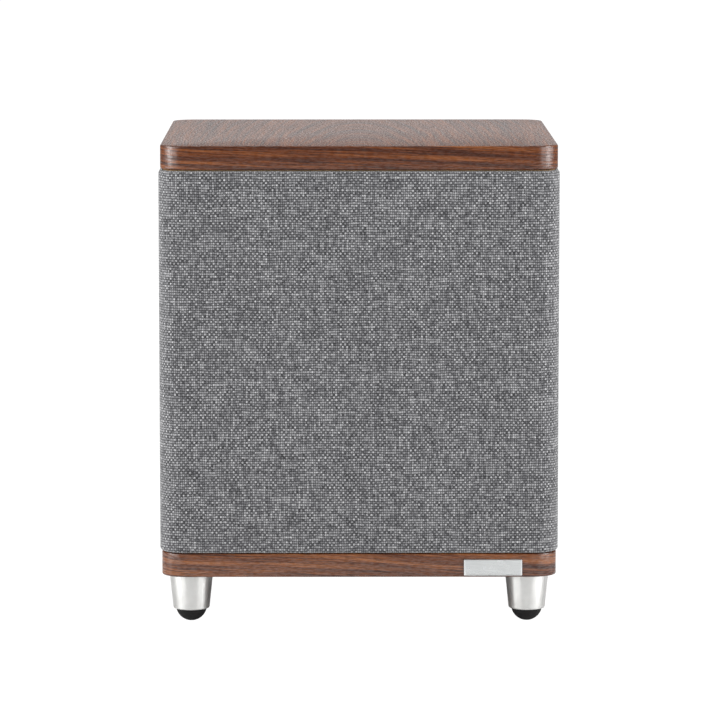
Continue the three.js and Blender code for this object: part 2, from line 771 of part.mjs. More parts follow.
// The mains socket, with the fuse in a drawer under it.
function buildInlet(group) {
  const [bezelWidth, bezelHeight] = INLET.bezel;
  const [socketWidth, socketHeight] = INLET.socket;
  const chamfer = 4;
  const [w, h] = [socketWidth / 2, socketHeight / 2];
  const socketShape = polygon([
    [-w, -h],
    [w, -h],
    [w, h - chamfer],
    [w - chamfer, h],
    [chamfer - w, h],
    [-w, h - chamfer],
  ]);
  const socket = raise(socketShape, INLET.socketFloor, INLET.front - INLET.socketFloor + 1);
  socket.translate(0, INLET.socketLevel, 0);
  const drawerSlot = bar(...INLET.drawer, 0, INLET.drawerLevel, INLET.drawerFloor, INLET.front + 1);
  const pin = (x, y) => bar(2, 4, x, y, INLET.socketFloor - 1, INLET.socketFloor + 11);
  const shell = cut(
    join(
      raise(roundedRectangle(bezelWidth, bezelHeight, 2), GAP, INLET.front - GAP, 0.4, 3),
      bar(...INLET.body, 0, 0, INLET.back, 1),
    ),
    socket,
    drawerSlot,
  );
  const level = INLET.socketLevel;
  const inlet = join(shell, pin(-7, level - 2), pin(7, level - 2), pin(0, level + 2));
  add(group, "mains_inlet", inlet, "blackPlastic").position.set(INLET_OFFSET, MAINS_LEVEL, 0);

  const [slotWidth, slotHeight] = INLET.drawer;
  const fuseDepth = -9;
  const [fuseRadius, fuseLength] = [2.5, 20];
  const pocket = bar(fuseLength + 2 * GAP, 6.4, 0, 1, fuseDepth - 3, fuseDepth + 3);
  const tray = cut(
    join(
      bar(slotWidth - 2 * GAP, slotHeight - 2 * GAP, 0, 0, INLET.drawerFloor + GAP, INLET.front + 1),
      raise(roundedRectangle(slotWidth + 1.4, slotHeight, 1), INLET.front + GAP, 1.3, 0.3, 2),
    ),
    pocket,
  );
  const fuse = cylinder(fuseRadius, -fuseLength / 2, fuseLength, 12);
  fuse.rotateY(Math.PI / 2).translate(0, 0.6, fuseDepth);
  for (const [name, geometry, finishName] of [
    ["fuse_drawer", tray, "blackPlastic"],
    ["fuse", fuse, "glass"],
  ]) {
    const mesh = add(group, name, geometry, finishName);
    mesh.position.set(INLET_OFFSET, MAINS_LEVEL + INLET.drawerLevel, 0);
  }
}

// The mains switch: its frame, and the rocker that tilts about a level axis.
function buildSwitch(group) {
  const frame = cut(
    join(
      raise(roundedRectangle(...ROCKER.bezel, 2), GAP, 2, 0.4, 3),
      bar(...ROCKER.body, 0, 0, -18, 1),
    ),
    bar(...ROCKER.mouth, 0, 0, -10, 4),
  );
  add(group, "power_switch", frame, "blackPlastic").position.set(SWITCH_OFFSET, MAINS_LEVEL, 0);

  const width = ROCKER.mouth[0] - 2 * GAP;
  const profile = polygon([
    [-8, 0],
    [-3, -4.5],
    [3, -4.5],
    [8, 0],
    [8, 5.1],
    [0, 3.7],
    [-8, 5.1],
  ]);
  const rocker = raise(profile, -width / 2, width)
    .rotateZ(Math.PI / 2)
    .rotateY(Math.PI / 2)
    .rotateX(THREE.MathUtils.degToRad(ROCKER_TILT));
  const mesh = add(group, "power_rocker", rocker, "blackPlastic");
  mesh.position.set(SWITCH_OFFSET, MAINS_LEVEL, ROCKER.axis);
}

// ---------- the lead from the amplifier to the driver ----------
function buildLead(group) {
  const radius = 2;
  const boardFace = AMP_FACE - CIRCUIT_DEPTH - 3 * GAP;
  const f = FLANGE_BOTTOM;
  const points = [
    [0, 84.6, f + 31.8],
    [0, 90, f + 31.8],
    [1, 97, f + 36],
    [8, 104, f + 52],
    [22, 106, f + 82],
    [38, 104, f + 112],
    [45, 108, f + 129],
    [45, boardFace - 6, f + 131],
    [45, boardFace, f + 131],
  ];
  const route = new THREE.CatmullRomCurve3(points.map((p) => new THREE.Vector3(...p)));
  const section = new THREE.Shape().absarc(0, 0, radius, 0, 2 * Math.PI);
  const lead = new THREE.ExtrudeGeometry(section, {
    steps: 26,
    curveSegments: 4,
    bevelEnabled: false,
    extrudePath: route,
  });
  add(group, "speaker_lead", lead, "blackPlastic");
}

// ---------- the whole ----------
const cabinet = new THREE.Group();
buildPlates(cabinet);
buildWalls(cabinet);
buildInside(cabinet);
buildSleeve(cabinet);
buildBadge(cabinet);
buildFeet(cabinet);
buildLead(cabinet);

const driver = new THREE.Group();
buildBasket(driver);
buildRings(driver);
buildSurround(driver);
buildCone(driver);
buildSpider(driver);
buildMotor(driver);

const amplifier = new THREE.Group();
buildPlate(amplifier);
buildElectronics(amplifier);
for (const [name, x] of Object.entries(KNOB_POSITIONS)) buildControl(amplifier, name, x);
buildPhaseSwitch(amplifier);
buildJacks(amplifier);
buildInlet(amplifier);
buildSwitch(amplifier);
const fromBehind = new THREE.Matrix4().makeBasis(
  new THREE.Vector3(-1, 0, 0),
  new THREE.Vector3(0, 0, 1),
  new THREE.Vector3(0, 1, 0),
);
amplifier.quaternion.setFromRotationMatrix(fromBehind);
amplifier.position.set(0, AMP_FACE, AMP_LEVEL);

const subwoofer = new THREE.Group();
subwoofer.add(cabinet, driver, amplifier);
subwoofer.position.y = (CLOTH_FACE - REAR_REACH) / 2;

export default subwoofer;
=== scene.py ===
"""Looks of the compact active subwoofer: cloth sleeve, walnut plates, metal feet, driver and amplifier.

Everything is in metres, +Z up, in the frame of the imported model. The front faces -Y.
"""

import json
import math

import bmesh
import bpy
import numpy as np
from mathutils import Matrix, Vector


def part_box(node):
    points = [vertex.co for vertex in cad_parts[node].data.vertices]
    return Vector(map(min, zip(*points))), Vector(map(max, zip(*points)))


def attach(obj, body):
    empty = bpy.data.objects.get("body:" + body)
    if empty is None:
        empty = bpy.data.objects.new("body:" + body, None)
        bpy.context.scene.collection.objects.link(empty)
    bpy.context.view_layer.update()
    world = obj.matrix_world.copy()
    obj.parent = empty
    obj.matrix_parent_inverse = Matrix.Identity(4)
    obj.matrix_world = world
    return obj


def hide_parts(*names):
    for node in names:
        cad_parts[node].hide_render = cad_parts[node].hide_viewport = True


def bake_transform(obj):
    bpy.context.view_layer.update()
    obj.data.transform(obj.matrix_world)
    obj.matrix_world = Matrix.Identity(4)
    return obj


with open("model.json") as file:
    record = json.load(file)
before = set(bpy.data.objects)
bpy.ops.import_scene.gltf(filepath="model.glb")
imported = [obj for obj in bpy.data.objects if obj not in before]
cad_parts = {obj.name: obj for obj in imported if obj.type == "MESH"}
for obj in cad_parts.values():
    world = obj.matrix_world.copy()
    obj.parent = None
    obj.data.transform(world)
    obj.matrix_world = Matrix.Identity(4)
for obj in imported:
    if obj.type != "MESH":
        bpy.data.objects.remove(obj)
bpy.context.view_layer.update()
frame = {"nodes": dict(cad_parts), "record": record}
nodes = frame["nodes"]
scene = bpy.context.scene


def low(node):
    """The least corner of a CAD node's box."""
    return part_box(node)[0]


def high(node):
    """The greatest corner of a CAD node's box."""
    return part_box(node)[1]


def middle(node):
    return (low(node) + high(node)) / 2


# ---------- driving dimensions, in metres ----------
MM = 0.001

# the plates and the cloth between them
PLATE_HALF = (high("lid_panel").x - low("lid_panel").x) / 2
PLATE_CORNER = 18 * MM
PLATE_EDGE = 1 * MM
CLOTH_THICK = 1.5 * MM
CLOTH_ROLL = 2.6 * MM  # the cloth's radius where it turns in over the walls' ends
CLOTH_OPENING = (160.3 * MM, 210.3 * MM)  # close round the amplifier's plate
YARN_ACROSS = 1.65 * MM  # pitch of the upright yarns
YARN_UP = 1.91 * MM  # pitch of the level yarns
CABINET_Y = middle("lid_panel").y  # the cabinet's own middle, which the driver shares

# the driver
CUTOUT_RADIUS = 93.5 * MM
REBATE_RADIUS = 106.5 * MM
REBATE_DEPTH = 8.5 * MM
SCREW_CIRCLE = 100.8 * MM
ROLL_RADIUS = 6.9 * MM
ROLL_MIDDLE = 81.2 * MM
SECTORS = 24  # the surround and the spider are made in this many pieces each

# the amplifier
AMP_FACE = high("amp_plate").y
AMP_LEVEL = middle("amp_plate").z
KNOB_RADIUS = 11 * MM
DIAL_RADIUS = 13.4 * MM
PLATE_SCREW_INSET = 5.2 * MM
JACK_UP = 25 * MM  # the jacks' axes above the plate's middle


# ---------- colour ----------
def srgb(red, green, blue):
    """A colour of 0 to 255 as the shader's linear values."""
    parts = [value / 255 for value in (red, green, blue)]
    linear = [v / 12.92 if v <= 0.04045 else ((v + 0.055) / 1.055) ** 2.4 for v in parts]
    return (*linear, 1.0)


def grey(value):
    return srgb(value, value, value)


def darkened(colour, share):
    return tuple(share * part for part in colour[:3]) + (1.0,)


# ---------- materials ----------
class Finish:
    """A procedural material, and short ways to make its nodes. All sizes are in metres."""

    def __init__(self, name, roughness=0.5, metallic=0.0):
        self.material = bpy.data.materials.new(name)
        self.material.use_nodes = True
        self.tree = self.material.node_tree
        self.shader = self.tree.nodes["Principled BSDF"]
        self.set("Roughness", roughness)
        self.set("Metallic", metallic)

    def set(self, socket, value):
        """Gives one of the shader's sockets a value or a link."""
        self.join(value, self.shader.inputs[socket])

    def join(self, value, socket):
        if isinstance(value, bpy.types.NodeSocket):
            self.tree.links.new(value, socket)
        else:
            socket.default_value = value

    def node(self, kind, inputs=None, **settings):
        made = self.tree.nodes.new("ShaderNode" + kind)
        for setting, value in settings.items():
            setattr(made, setting, value)
        for socket, value in (inputs or {}).items():
            self.join(value, made.inputs[socket])
        return made

    def place(self):
        """Where a point is, in the model's frame."""
        return self.node("TexCoord").outputs["Object"]

    def surface(self):
        """Where a point is on the flattened surface: along it and across it."""
        return self.node("UVMap", uv_map="surface").outputs["UV"]

    def split(self, vector):
        return self.node("SeparateXYZ", {"Vector": vector}).outputs

    def vector(self, x=0.0, y=0.0, z=0.0):
        return self.node("CombineXYZ", {"X": x, "Y": y, "Z": z}).outputs["Vector"]

    def calc(self, operation, *values):
        return self.node("Math", dict(enumerate(values)), operation=operation).outputs[0]

    def times(self, first, second):
        return self.calc("MULTIPLY", first, second)

    def centred(self, value):
        """A value of 0 to 1 as one of -0.5 to 0.5."""
        return self.calc("SUBTRACT", value, 0.5)

    def average(self, first, second, share=0.5):
        """The two values together, with that share of the first."""
        return self.calc("MULTIPLY_ADD", first, share, self.times(second, 1 - share))

    def noise(self, size, stretch=(1, 1, 1), detail=2.0, roughness=0.5, shift=0.0, over=None):
        """Soft noise whose lumps are about the given size, and longer where stretch is more than 1."""
        vector = self.place() if over is None else over
        scale = tuple(1 / (size * part) for part in stretch)
        mapped = self.node("Mapping", {"Vector": vector, "Scale": scale, "Location": (0, 0, shift)})
        inputs = {"Vector": mapped.outputs[0], "Scale": 1.0, "Detail": detail, "Roughness": roughness}
        return self.node("TexNoise", inputs).outputs["Fac"]

    def levels(self, value, start, end, to_start=0.0, to_end=1.0):
        """The value, from start to end, as one that runs from to_start to to_end."""
        inputs = {0: value, 1: start, 2: end, 3: to_start, 4: to_end}
        return self.node("MapRange", inputs).outputs[0]

    def colours(self, value, *stops):
        """A colour that runs through the stops, each a position from 0 to 1 and a colour."""
        ramp = self.node("ValToRGB", {"Fac": value})
        elements = ramp.color_ramp.elements
        while len(elements) < len(stops):
            elements.new(0.5)
        for element, (position, colour) in zip(elements, stops):
            element.position = position
            element.color = colour
        return ramp.outputs["Color"]

    def mix(self, share, first, second, kind="MIX"):
        made = self.node("Mix", {0: share, 6: first, 7: second}, data_type="RGBA", blend_type=kind)
        return made.outputs[2]

    def paint(self, tone, dark, light, start=0.3, end=0.7):
        """Colours the surface from dark to light as the tone goes from start to end."""
        self.set("Base Color", self.colours(tone, (start, dark), (end, light)))

    def roughen(self, tone, smooth, rough, start=0.3, end=0.7):
        """Makes the surface go from smooth to rough as the tone goes from start to end."""
        self.set("Roughness", self.levels(tone, start, end, smooth, rough))

    def bump(self, height, depth):
        inputs = {"Height": height, "Distance": depth, "Strength": 1.0}
        self.set("Normal", self.node("Bump", inputs).outputs["Normal"])


def walnut(name, figure, dark, mid, light, pore):
    """Satin walnut veneer. The grain runs along the surface's first direction."""
    f = Finish(name)
    along, across, _ = f.split(f.surface())
    # growth rings: arcs near the middle of a face, and nearly straight lines away from it
    log_shift, log_taper, sway = 0.25, 0.13, 0.009
    reach = f.times(f.calc("ADD", along, log_shift), log_taper)
    wander = f.noise(0.05, (6, 1, 1), shift=figure, over=f.surface())
    swayed = f.calc("MULTIPLY_ADD", f.centred(wander), sway, across)
    squares = f.calc("ADD", f.calc("POWER", swayed, 2.0), f.calc("POWER", reach, 2.0))
    wood = f.vector(along, f.calc("SQRT", squares), figure)
    bands = f.noise(0.0036, (60, 1, 1), 3, 0.6, figure, wood)
    streaks = f.noise(0.001, (70, 1, 1), 3, 0.65, figure, wood)
    fibres = f.noise(0.0004, (40, 1, 1), 2, 0.6, figure, wood)
    open_grain = f.noise(0.0005, (22, 1, 1), 2, 0.55, figure, wood)
    pores = f.levels(open_grain, 0.56, 0.66)
    # satin lacquer, a little thinner in patches and along the pores, and rubbed open in spots on
    # a level face
    patches = f.noise(0.0012, (4, 1, 1), shift=figure + 4, over=f.surface())
    lacquer = f.levels(f.calc("MULTIPLY_ADD", pores, 0.1, patches), 0.42, 0.6, 1.0, 0.5)
    normal = f.node("NewGeometry").outputs["Normal"]
    level_face = f.calc("ABSOLUTE", f.split(normal)[2])
    rubbed = f.noise(0.0007, (1, 3, 1), shift=figure + 9, over=f.surface())
    spots = f.times(f.levels(rubbed, 0.46, 0.55), level_face)
    f.set("Coat Weight", f.times(lacquer, f.calc("MULTIPLY_ADD", spots, -0.55, 1.0)))
    f.set("Coat Roughness", 0.28)
    f.set("Coat IOR", 1.7)
    f.set("Specular IOR Level", 0.0)
    tone = f.levels(f.average(streaks, bands, 0.55), 0.41, 0.60)
    colour = f.colours(tone, (0.0, dark), (0.5, mid), (1.0, light))
    colour = f.mix(f.levels(fibres, 0.4, 0.65, 0.0, 0.3), colour, dark)
    f.set("Base Color", f.mix(f.times(pores, 0.6), colour, pore))
    f.roughen(f.calc("ADD", fibres, pores), 0.26, 0.45, 0.3, 1.3)
    f.bump(f.calc("SUBTRACT", f.times(fibres, 0.35), pores), 0.00013)
    return f


def heathered_cloth():
    """Plain weave. Each yarn changes shade along its length, and the level yarns have dark flecks."""
    f = Finish("heathered_cloth", roughness=0.88)
    f.set("Sheen Weight", 0.5)
    f.set("Sheen Roughness", 0.4)
    f.set("Specular IOR Level", 0.15)
    across, up, _ = f.split(f.surface())
    # the yarns are counted across and up, and each wanders by less than half its pitch
    wander = 0.9
    sway = f.times(f.centred(f.noise(0.018, detail=1, over=f.surface())), wander)
    lean = f.times(f.centred(f.noise(0.022, detail=1, shift=5, over=f.surface())), wander)
    column = f.calc("MULTIPLY_ADD", across, 1 / YARN_ACROSS, sway)
    row = f.calc("MULTIPLY_ADD", up, 1 / YARN_UP, lean)
    column_number = f.calc("FLOOR", column)
    row_number = f.calc("FLOOR", row)
    level_over = f.calc("PINGPONG", f.calc("ADD", column_number, row_number), 1.0)

    def roundness(count):
        """1 in the middle of a yarn and 0 at its edges."""
        return f.calc("COSINE", f.times(f.centred(f.calc("FRACT", count)), math.pi))

    def yarn_shade(number, along, size, shift):
        """Noise along a yarn, and another for each yarn."""
        at = f.vector(f.times(number, 7.31), f.calc("DIVIDE", along, size), shift)
        return f.node("TexNoise", {"Vector": at, "Scale": 1.0, "Detail": 1.0}).outputs["Fac"]

    def yarn(number, along, shift, darkest, lightest):
        flecks = yarn_shade(number, along, 1.5, shift)
        drift = yarn_shade(number, along, 9.0, shift + 20)
        return f.levels(f.calc("MULTIPLY_ADD", drift, 0.6, flecks), 0.55, 1.05, darkest, lightest)

    round_column, round_row = roundness(column), roundness(row)
    upright = yarn(column_number, row, 0.5, 0.4, 0.86)
    level = yarn(row_number, column, 40.5, 0.14, 0.74)
    # the yarn on top shows most, and is highest in its middle
    top_shade = f.mix(level_over, f.vector(upright, upright, upright), f.vector(level, level, level))
    twist = f.noise(0.0004, over=f.surface())
    shade = f.calc("MULTIPLY_ADD", f.centred(twist), 0.2, f.split(top_shade)[0])
    colour = f.colours(shade, (0.0, srgb(34, 34, 37)), (0.45, srgb(101, 101, 104)),
                       (0.8, srgb(168, 168, 170)), (1.0, srgb(206, 206, 207)))
    # painted shade: the colour darkens between the rows and between the columns, where the yarns shade
    # each other
    painted_yarn_shade = f.times(f.levels(round_row, 0.0, 0.85, 0.1, 1.0), f.levels(round_column, 0.0, 0.8, 0.3, 1.0))
    f.set("Base Color", f.mix(1.0, colour, f.vector(painted_yarn_shade, painted_yarn_shade, painted_yarn_shade), "MULTIPLY"))
    crown = f.times(round_row, f.calc("POWER", round_column, 0.6))
    f.bump(f.calc("MULTIPLY_ADD", twist, 0.25, crown), 0.0004)
    return f


def turned_aluminium():
    """Satin metal with the fine rings that a lathe leaves."""
    f = Finish("turned_aluminium", metallic=1.0)
    _, _, level = f.split(f.place())
    rings = f.noise(0.00012, detail=3, over=f.vector(0.0, 0.0, level))
    tone = f.average(f.noise(0.006, detail=3), rings)
    f.paint(tone, srgb(198, 198, 196), srgb(212, 212, 210))
    f.roughen(tone, 0.28, 0.36)
    f.set("Anisotropic", 0.85)
    f.set("Anisotropic Rotation", 0.25)
    f.set("Tangent", f.node("Tangent", direction_type="RADIAL", axis="Z").outputs[0])
    f.bump(rings, 0.000004)
    return f


def brushed_badge():
    """Metal with long fine lines from side to side."""
    f = Finish("brushed_badge", metallic=1.0)
    lines = f.noise(0.00015, (60, 1, 1), 3)
    f.paint(lines, srgb(188, 190, 190), srgb(206, 208, 208))
    f.roughen(f.calc("ADD", lines, f.noise(0.008)), 0.24, 0.38, 0.7, 1.3)
    f.bump(lines, 0.00001)
    return f


def speckled(name, dark, light, size, roughness, depth, metallic=0.0, sheen=0.0, gloss=0.5):
    """A fine-grained surface: rubber, moulded plastic, powder coat, pulp paper or ceramic."""
    f = Finish(name, metallic=metallic)
    grain = f.noise(size, detail=4, roughness=0.6)
    tone = f.average(f.noise(size * 30), grain)
    f.paint(tone, dark, light, 0.32, 0.68)
    f.roughen(tone, roughness - 0.07, roughness + 0.07)
    f.set("Sheen Weight", sheen)
    f.set("Specular IOR Level", gloss)
    f.bump(grain, depth)
    return f


def machined_metal(name, tint, roughness):
    """Plated or turned metal with level scratches."""
    f = Finish(name, metallic=1.0)
    scratches = f.noise(0.0003, (9, 9, 1), 3)
    tone = f.average(f.noise(0.01, detail=3), scratches, 0.6)
    f.paint(tone, darkened(tint, 0.75), tint)
    f.roughen(tone, roughness - 0.08, roughness + 0.1)
    f.bump(scratches, 0.00001)
    return f


def fibreboard():
    """Raw board, with black paint on its outer faces so that they don't show round the cloth; the black
    also stands in for the shade that falls between the cloth and the plates.
    """
    f = Finish("fibreboard")
    chips = f.noise(0.0008, detail=4, roughness=0.7)
    tone = f.average(f.noise(0.0022, (1, 1, 0.4)), chips, 0.4)
    raw = f.colours(tone, (0.3, srgb(124, 96, 64)), (0.7, srgb(178, 148, 108)))
    x, y, _ = f.split(f.place())
    from_middle = f.calc("ABSOLUTE", f.calc("SUBTRACT", y, CABINET_Y))
    reach = f.calc("MAXIMUM", f.calc("ABSOLUTE", x), from_middle)
    # painted shade: the outer faces are black, which is their paint and also darkens the lines between
    # the cloth and the plates, where shade falls
    black_paint_and_edge_shade = f.calc("GREATER_THAN", reach, high("right_panel").x - 1 * MM)
    f.set("Base Color", f.mix(black_paint_and_edge_shade, raw, grey(16)))
    f.roughen(tone, 0.8, 0.95)
    f.bump(chips, 0.0001)
    return f


def wadding():
    """Lofty white polyester: tangled fibres over soft lumps."""
    f = Finish("wadding", roughness=0.95)
    f.set("Sheen Weight", 0.3)
    first = f.noise(0.0006, (10, 1, 3), 3)
    second = f.noise(0.0006, (1, 3, 10), 3, shift=9)
    lumps = f.noise(0.012, detail=3)
    fibres = f.calc("MAXIMUM", first, second)
    f.paint(f.average(lumps, fibres), srgb(196, 193, 186), srgb(236, 234, 229), 0.35, 0.65)
    f.bump(f.calc("MULTIPLY_ADD", lumps, 0.6, fibres), 0.0008)
    return f


def spider_weave():
    """Small plain weave, stiffened with a brown resin."""
    pitch = 1.2 * MM
    f = Finish("spider_weave", roughness=0.85)
    across, deep, _ = f.split(f.surface())
    first, second = [f.calc("SINE", f.times(way, 2 * math.pi / pitch)) for way in (across, deep)]
    weave = f.times(first, second)
    tone = f.calc("MULTIPLY_ADD", weave, 0.25, f.noise(0.004, detail=3))
    f.paint(tone, srgb(150, 112, 56), srgb(204, 166, 98))
    f.bump(weave, 0.0001)
    return f


def wound_copper():
    """Enamelled wire in close rings, one above the other, darker in the grooves between them where shade
    falls.
    """
    turn = 0.4 * MM
    f = Finish("wound_copper", roughness=0.32, metallic=1.0)
    _, _, level = f.split(f.place())
    turn_relief_and_shade = f.calc("ABSOLUTE", f.calc("SINE", f.times(level, math.pi / turn)))
    # painted shade: the colour is darkest in the grooves between the wire's rings and lightest on their
    # rounded tops
    f.paint(f.average(turn_relief_and_shade, f.noise(0.003, detail=3), 0.6), srgb(96, 46, 20), srgb(196, 116, 66), 0.1)
    f.bump(turn_relief_and_shade, 0.00012)
    return f


def clouded(name, dark, light, size, detail, smooth, rough, depth):
    """A smooth surface with soft clouds: tinted film or a lens."""
    f = Finish(name)
    cloud = f.noise(size, detail=detail)
    f.paint(cloud, dark, light)
    f.roughen(cloud, smooth, rough)
    f.bump(cloud, depth)
    return f


def solder_mask():
    """A circuit board: tracks under green lacquer, and bright pads."""
    f = Finish("solder_mask", roughness=0.4)
    x, _, z = f.split(f.place())
    cell = f.vector(f.calc("SNAP", x, 0.0025), 0.0, f.calc("SNAP", z, 0.0035))
    choice = f.node("TexWhiteNoise", {"Vector": cell}).outputs["Value"]
    track = f.calc("GREATER_THAN", choice, 0.55)
    dots = f.node("TexVoronoi", {"Vector": f.place(), "Scale": 1 / 0.0042}).outputs["Distance"]
    pads = f.calc("LESS_THAN", dots, 0.09)
    green = f.colours(f.noise(0.01), (0.3, srgb(16, 66, 36)), (0.7, srgb(26, 84, 48)))
    green = f.mix(f.times(track, 0.5), green, srgb(48, 122, 66))
    f.set("Base Color", f.mix(pads, green, srgb(190, 190, 186)))
    f.set("Metallic", pads)
    f.bump(f.calc("ADD", track, pads), 0.00006)
    return f


def red_lens():
    """The status light's tinted lens."""
    red = srgb(196, 26, 16)
    f = clouded("red_lens", darkened(red, 0.7), red, 0.0006, 2, 0.08, 0.16, 0.00003)
    f.set("Emission Color", red)
    f.set("Emission Strength", 0.5)
    return f


def fuse_glass():
    """Clear tube with a metal cap at each end."""
    f = Finish("fuse_glass", roughness=0.12)
    x, _, _ = f.split(f.place())
    from_middle = f.calc("ABSOLUTE", f.calc("SUBTRACT", x, middle("fuse").x))
    cap = f.calc("GREATER_THAN", from_middle, 5.2 * MM)
    scuffs = f.noise(0.0008, detail=3)
    glass = f.colours(scuffs, (0.3, srgb(196, 202, 202)), (0.7, srgb(216, 222, 222)))
    f.set("Base Color", f.mix(cap, glass, srgb(214, 212, 206)))
    f.set("Metallic", cap)
    f.bump(scuffs, 0.00001)
    return f


LID_WALNUT = walnut("lid_walnut", 3.0, srgb(50, 19, 5), srgb(88, 43, 15), srgb(126, 72, 33),
                    srgb(24, 9, 4))
BASE_WALNUT = walnut("base_walnut", 17.0, srgb(50, 20, 7), srgb(90, 47, 21), srgb(130, 78, 41),
                     srgb(25, 10, 5))
WHITE_PRINT = speckled("white_print", grey(196), grey(222), 0.0002, 0.6, 0.000005)
COLLARS = {
    "jack_left": speckled("white_collar", grey(190), grey(216), 0.0003, 0.4, 0.00002),
    "jack_right": speckled("red_collar", srgb(130, 16, 14), srgb(170, 26, 22), 0.0003, 0.4, 0.00002),
}

FINISHES = {
    "walnut": LID_WALNUT,
    "fibreboard": fibreboard(),
    "cloth": heathered_cloth(),
    "wadding": wadding(),
    "satin_aluminium": turned_aluminium(),
    "badge_metal": brushed_badge(),
    "rubber": speckled("black_rubber", grey(8), grey(18), 0.0004, 0.66, 0.00003, gloss=0.22),
    "steel": machined_metal("machined_steel", srgb(190, 192, 194), 0.32),
    "black_steel": speckled("black_steel", grey(26), grey(44), 0.0005, 0.4, 0.00002, 0.3),
    "ferrite": speckled("ferrite", grey(48), grey(72), 0.0006, 0.75, 0.00008),
    "paper": speckled("pulp_paper", grey(22), grey(46), 0.0009, 0.78, 0.00014, sheen=0.1),
    "spider_cloth": spider_weave(),
    "copper": wound_copper(),
    "former": clouded("amber_film", srgb(118, 74, 22), srgb(160, 108, 44), 0.002, 3, 0.28, 0.42, 0.00002),
    "black_plastic": speckled("moulded_black", grey(24), grey(40), 0.0003, 0.42, 0.00003),
    "black_aluminium": speckled("powder_coat", grey(25), grey(40), 0.0006, 0.46, 0.00004, 0.2),
    "circuit_green": solder_mask(),
    "gold": machined_metal("gold_plate", srgb(226, 186, 96), 0.22),
    "red_lens": red_lens(),
    "fuse_glass": fuse_glass(),
}

# each CAD node takes the finish of its own slot
for part in frame["record"]["subparts"]:
    materials = nodes[part["node"]].data.materials
    materials.clear()
    materials.append(FINISHES[part["material_slot"]].material)


# ---------- lines and rings ----------
def arc(x, y, radius, start, end, steps):
    """Points of an arc, its angles in degrees."""
    angles = np.radians(np.linspace(start, end, steps + 1))
    return [(x + radius * math.cos(a), y + radius * math.sin(a)) for a in angles]


def around(count):
    """That many angles, evenly round a circle."""
    return [2 * math.pi * i / count for i in range(count)]


def circle(radius, angles):
    return [(radius * math.cos(a), radius * math.sin(a)) for a in angles]


def girth(radius, count):
    """How far round a circle each of its points is, and the first again after a whole turn."""
    return [2 * math.pi * i / count * radius for i in range(count + 1)]


def running(points):
    """How far along an open line each of its points is."""
    reached = [0.0]
    for here, there in zip(points, points[1:]):
        reached.append(reached[-1] + math.dist(here, there))
    return reached


def running_round(ring):
    """How far round a closed ring each of its points is, and the first again after a whole turn."""
    return running(ring + ring[:1])


def in_metres(section):
    return [(radius * MM, z * MM) for radius, z in section]


def rounded_ring(width, height, radius, steps):
    """A round-cornered rectangle about the origin, anticlockwise."""
    x, y = width / 2 - radius, height / 2 - radius
    points = []
    for side_x, side_y, start in ((1, -1, -90), (1, 1, 0), (-1, 1, 90), (-1, -1, 180)):
        points += arc(side_x * x, side_y * y, radius, start, start + 90, steps)
    return points


def outline(half, corner, stops):
    """A round-cornered square about the origin, from the middle of the rear, anticlockwise.

    Every side gets a point at each of the stops, measured from its middle.
    """
    corner_steps = 14
    flat = half - corner
    side = sorted({-stop for stop in stops} | set(stops))
    points = []
    for turn in range(4):
        quarter = [(stop, -half) for stop in side if abs(stop) < flat]
        quarter += arc(flat, -flat, corner, -90, 0, corner_steps)
        angle = turn * math.pi / 2
        cos, sin = round(math.cos(angle)), round(math.sin(angle))
        points += [(x * cos - y * sin, x * sin + y * cos) for x, y in quarter]
    first = points.index(min(points, key=lambda p: abs(p[0]) + abs(p[1] - half)))
    return points[first:] + points[:first]


# ---------- shapes and meshes ----------
def edit(mesh, change):
    """Lets a function change a mesh by way of bmesh."""
    made = bmesh.new()
    made.from_mesh(mesh)
    change(made)
    made.to_mesh(mesh)
    made.free()


def face_outwards(made):
    bmesh.ops.recalc_face_normals(made, faces=made.faces)


def fill_holes(made):
    bmesh.ops.holes_fill(made, edges=[edge for edge in made.edges if edge.is_boundary])


def across_and_up(point):
    """A flat face's places are its own first two measures."""
    return point[0], point[1]


class Shape:
    """Points and faces as they are made. Each face corner also has its place on the surface."""

    def __init__(self):
        self.points = []
        self.faces = []
        self.places = []

    def ring(self, points):
        """Adds the points, and gives their numbers."""
        start = len(self.points)
        self.points.extend(points)
        return list(range(start, start + len(points)))

    def level_ring(self, points, z, y=0.0):
        """A ring of flat points at one height, moved along by y."""
        return self.ring([(px, py + y, z) for px, py in points])

    def face(self, corners, places):
        self.faces.append(corners)
        self.places.append(places)

    def flat(self, corners, place_of=across_and_up):
        """One face whose places follow from where its corners are."""
        self.face(list(corners), [place_of(self.points[i]) for i in corners])

    def band(self, first, second, along, first_place, second_place, skip=()):
        """Quads between two rings of equal length, but for those that start at a point to skip."""
        count = len(first)
        for i in range(count):
            if i in skip:
                continue
            j = (i + 1) % count
            start, end = along[i], along[i + 1]
            self.face(
                [first[i], first[j], second[j], second[i]],
                [(start, first_place), (end, first_place), (end, second_place), (start, second_place)],
            )

    def skin(self, rings, along, reached, place_of=across_and_up, capped=True):
        """Bands from each ring to the next, and a flat face at both ends if capped."""
        for i in range(len(rings) - 1):
            self.band(rings[i], rings[i + 1], along, reached[i], reached[i + 1])
        if capped:
            self.flat(rings[0][::-1], place_of)
            self.flat(rings[-1], place_of)

    def move(self, place):
        """Puts each point where place says."""
        self.points = [tuple(place(x, y, z)) for x, y, z in self.points]
        return self

    def mesh(self, name, sharp):
        mesh = bpy.data.meshes.new(name)
        mesh.from_pydata(self.points, [], self.faces)
        layer = mesh.uv_layers.new(name="surface")
        flat = [value for places in self.places for place in places for value in place]
        layer.data.foreach_set("uv", flat)
        mesh.validate()
        edit(mesh, face_outwards)
        mesh.shade_smooth()
        mesh.set_sharp_from_angle(angle=math.radians(sharp))
        return mesh


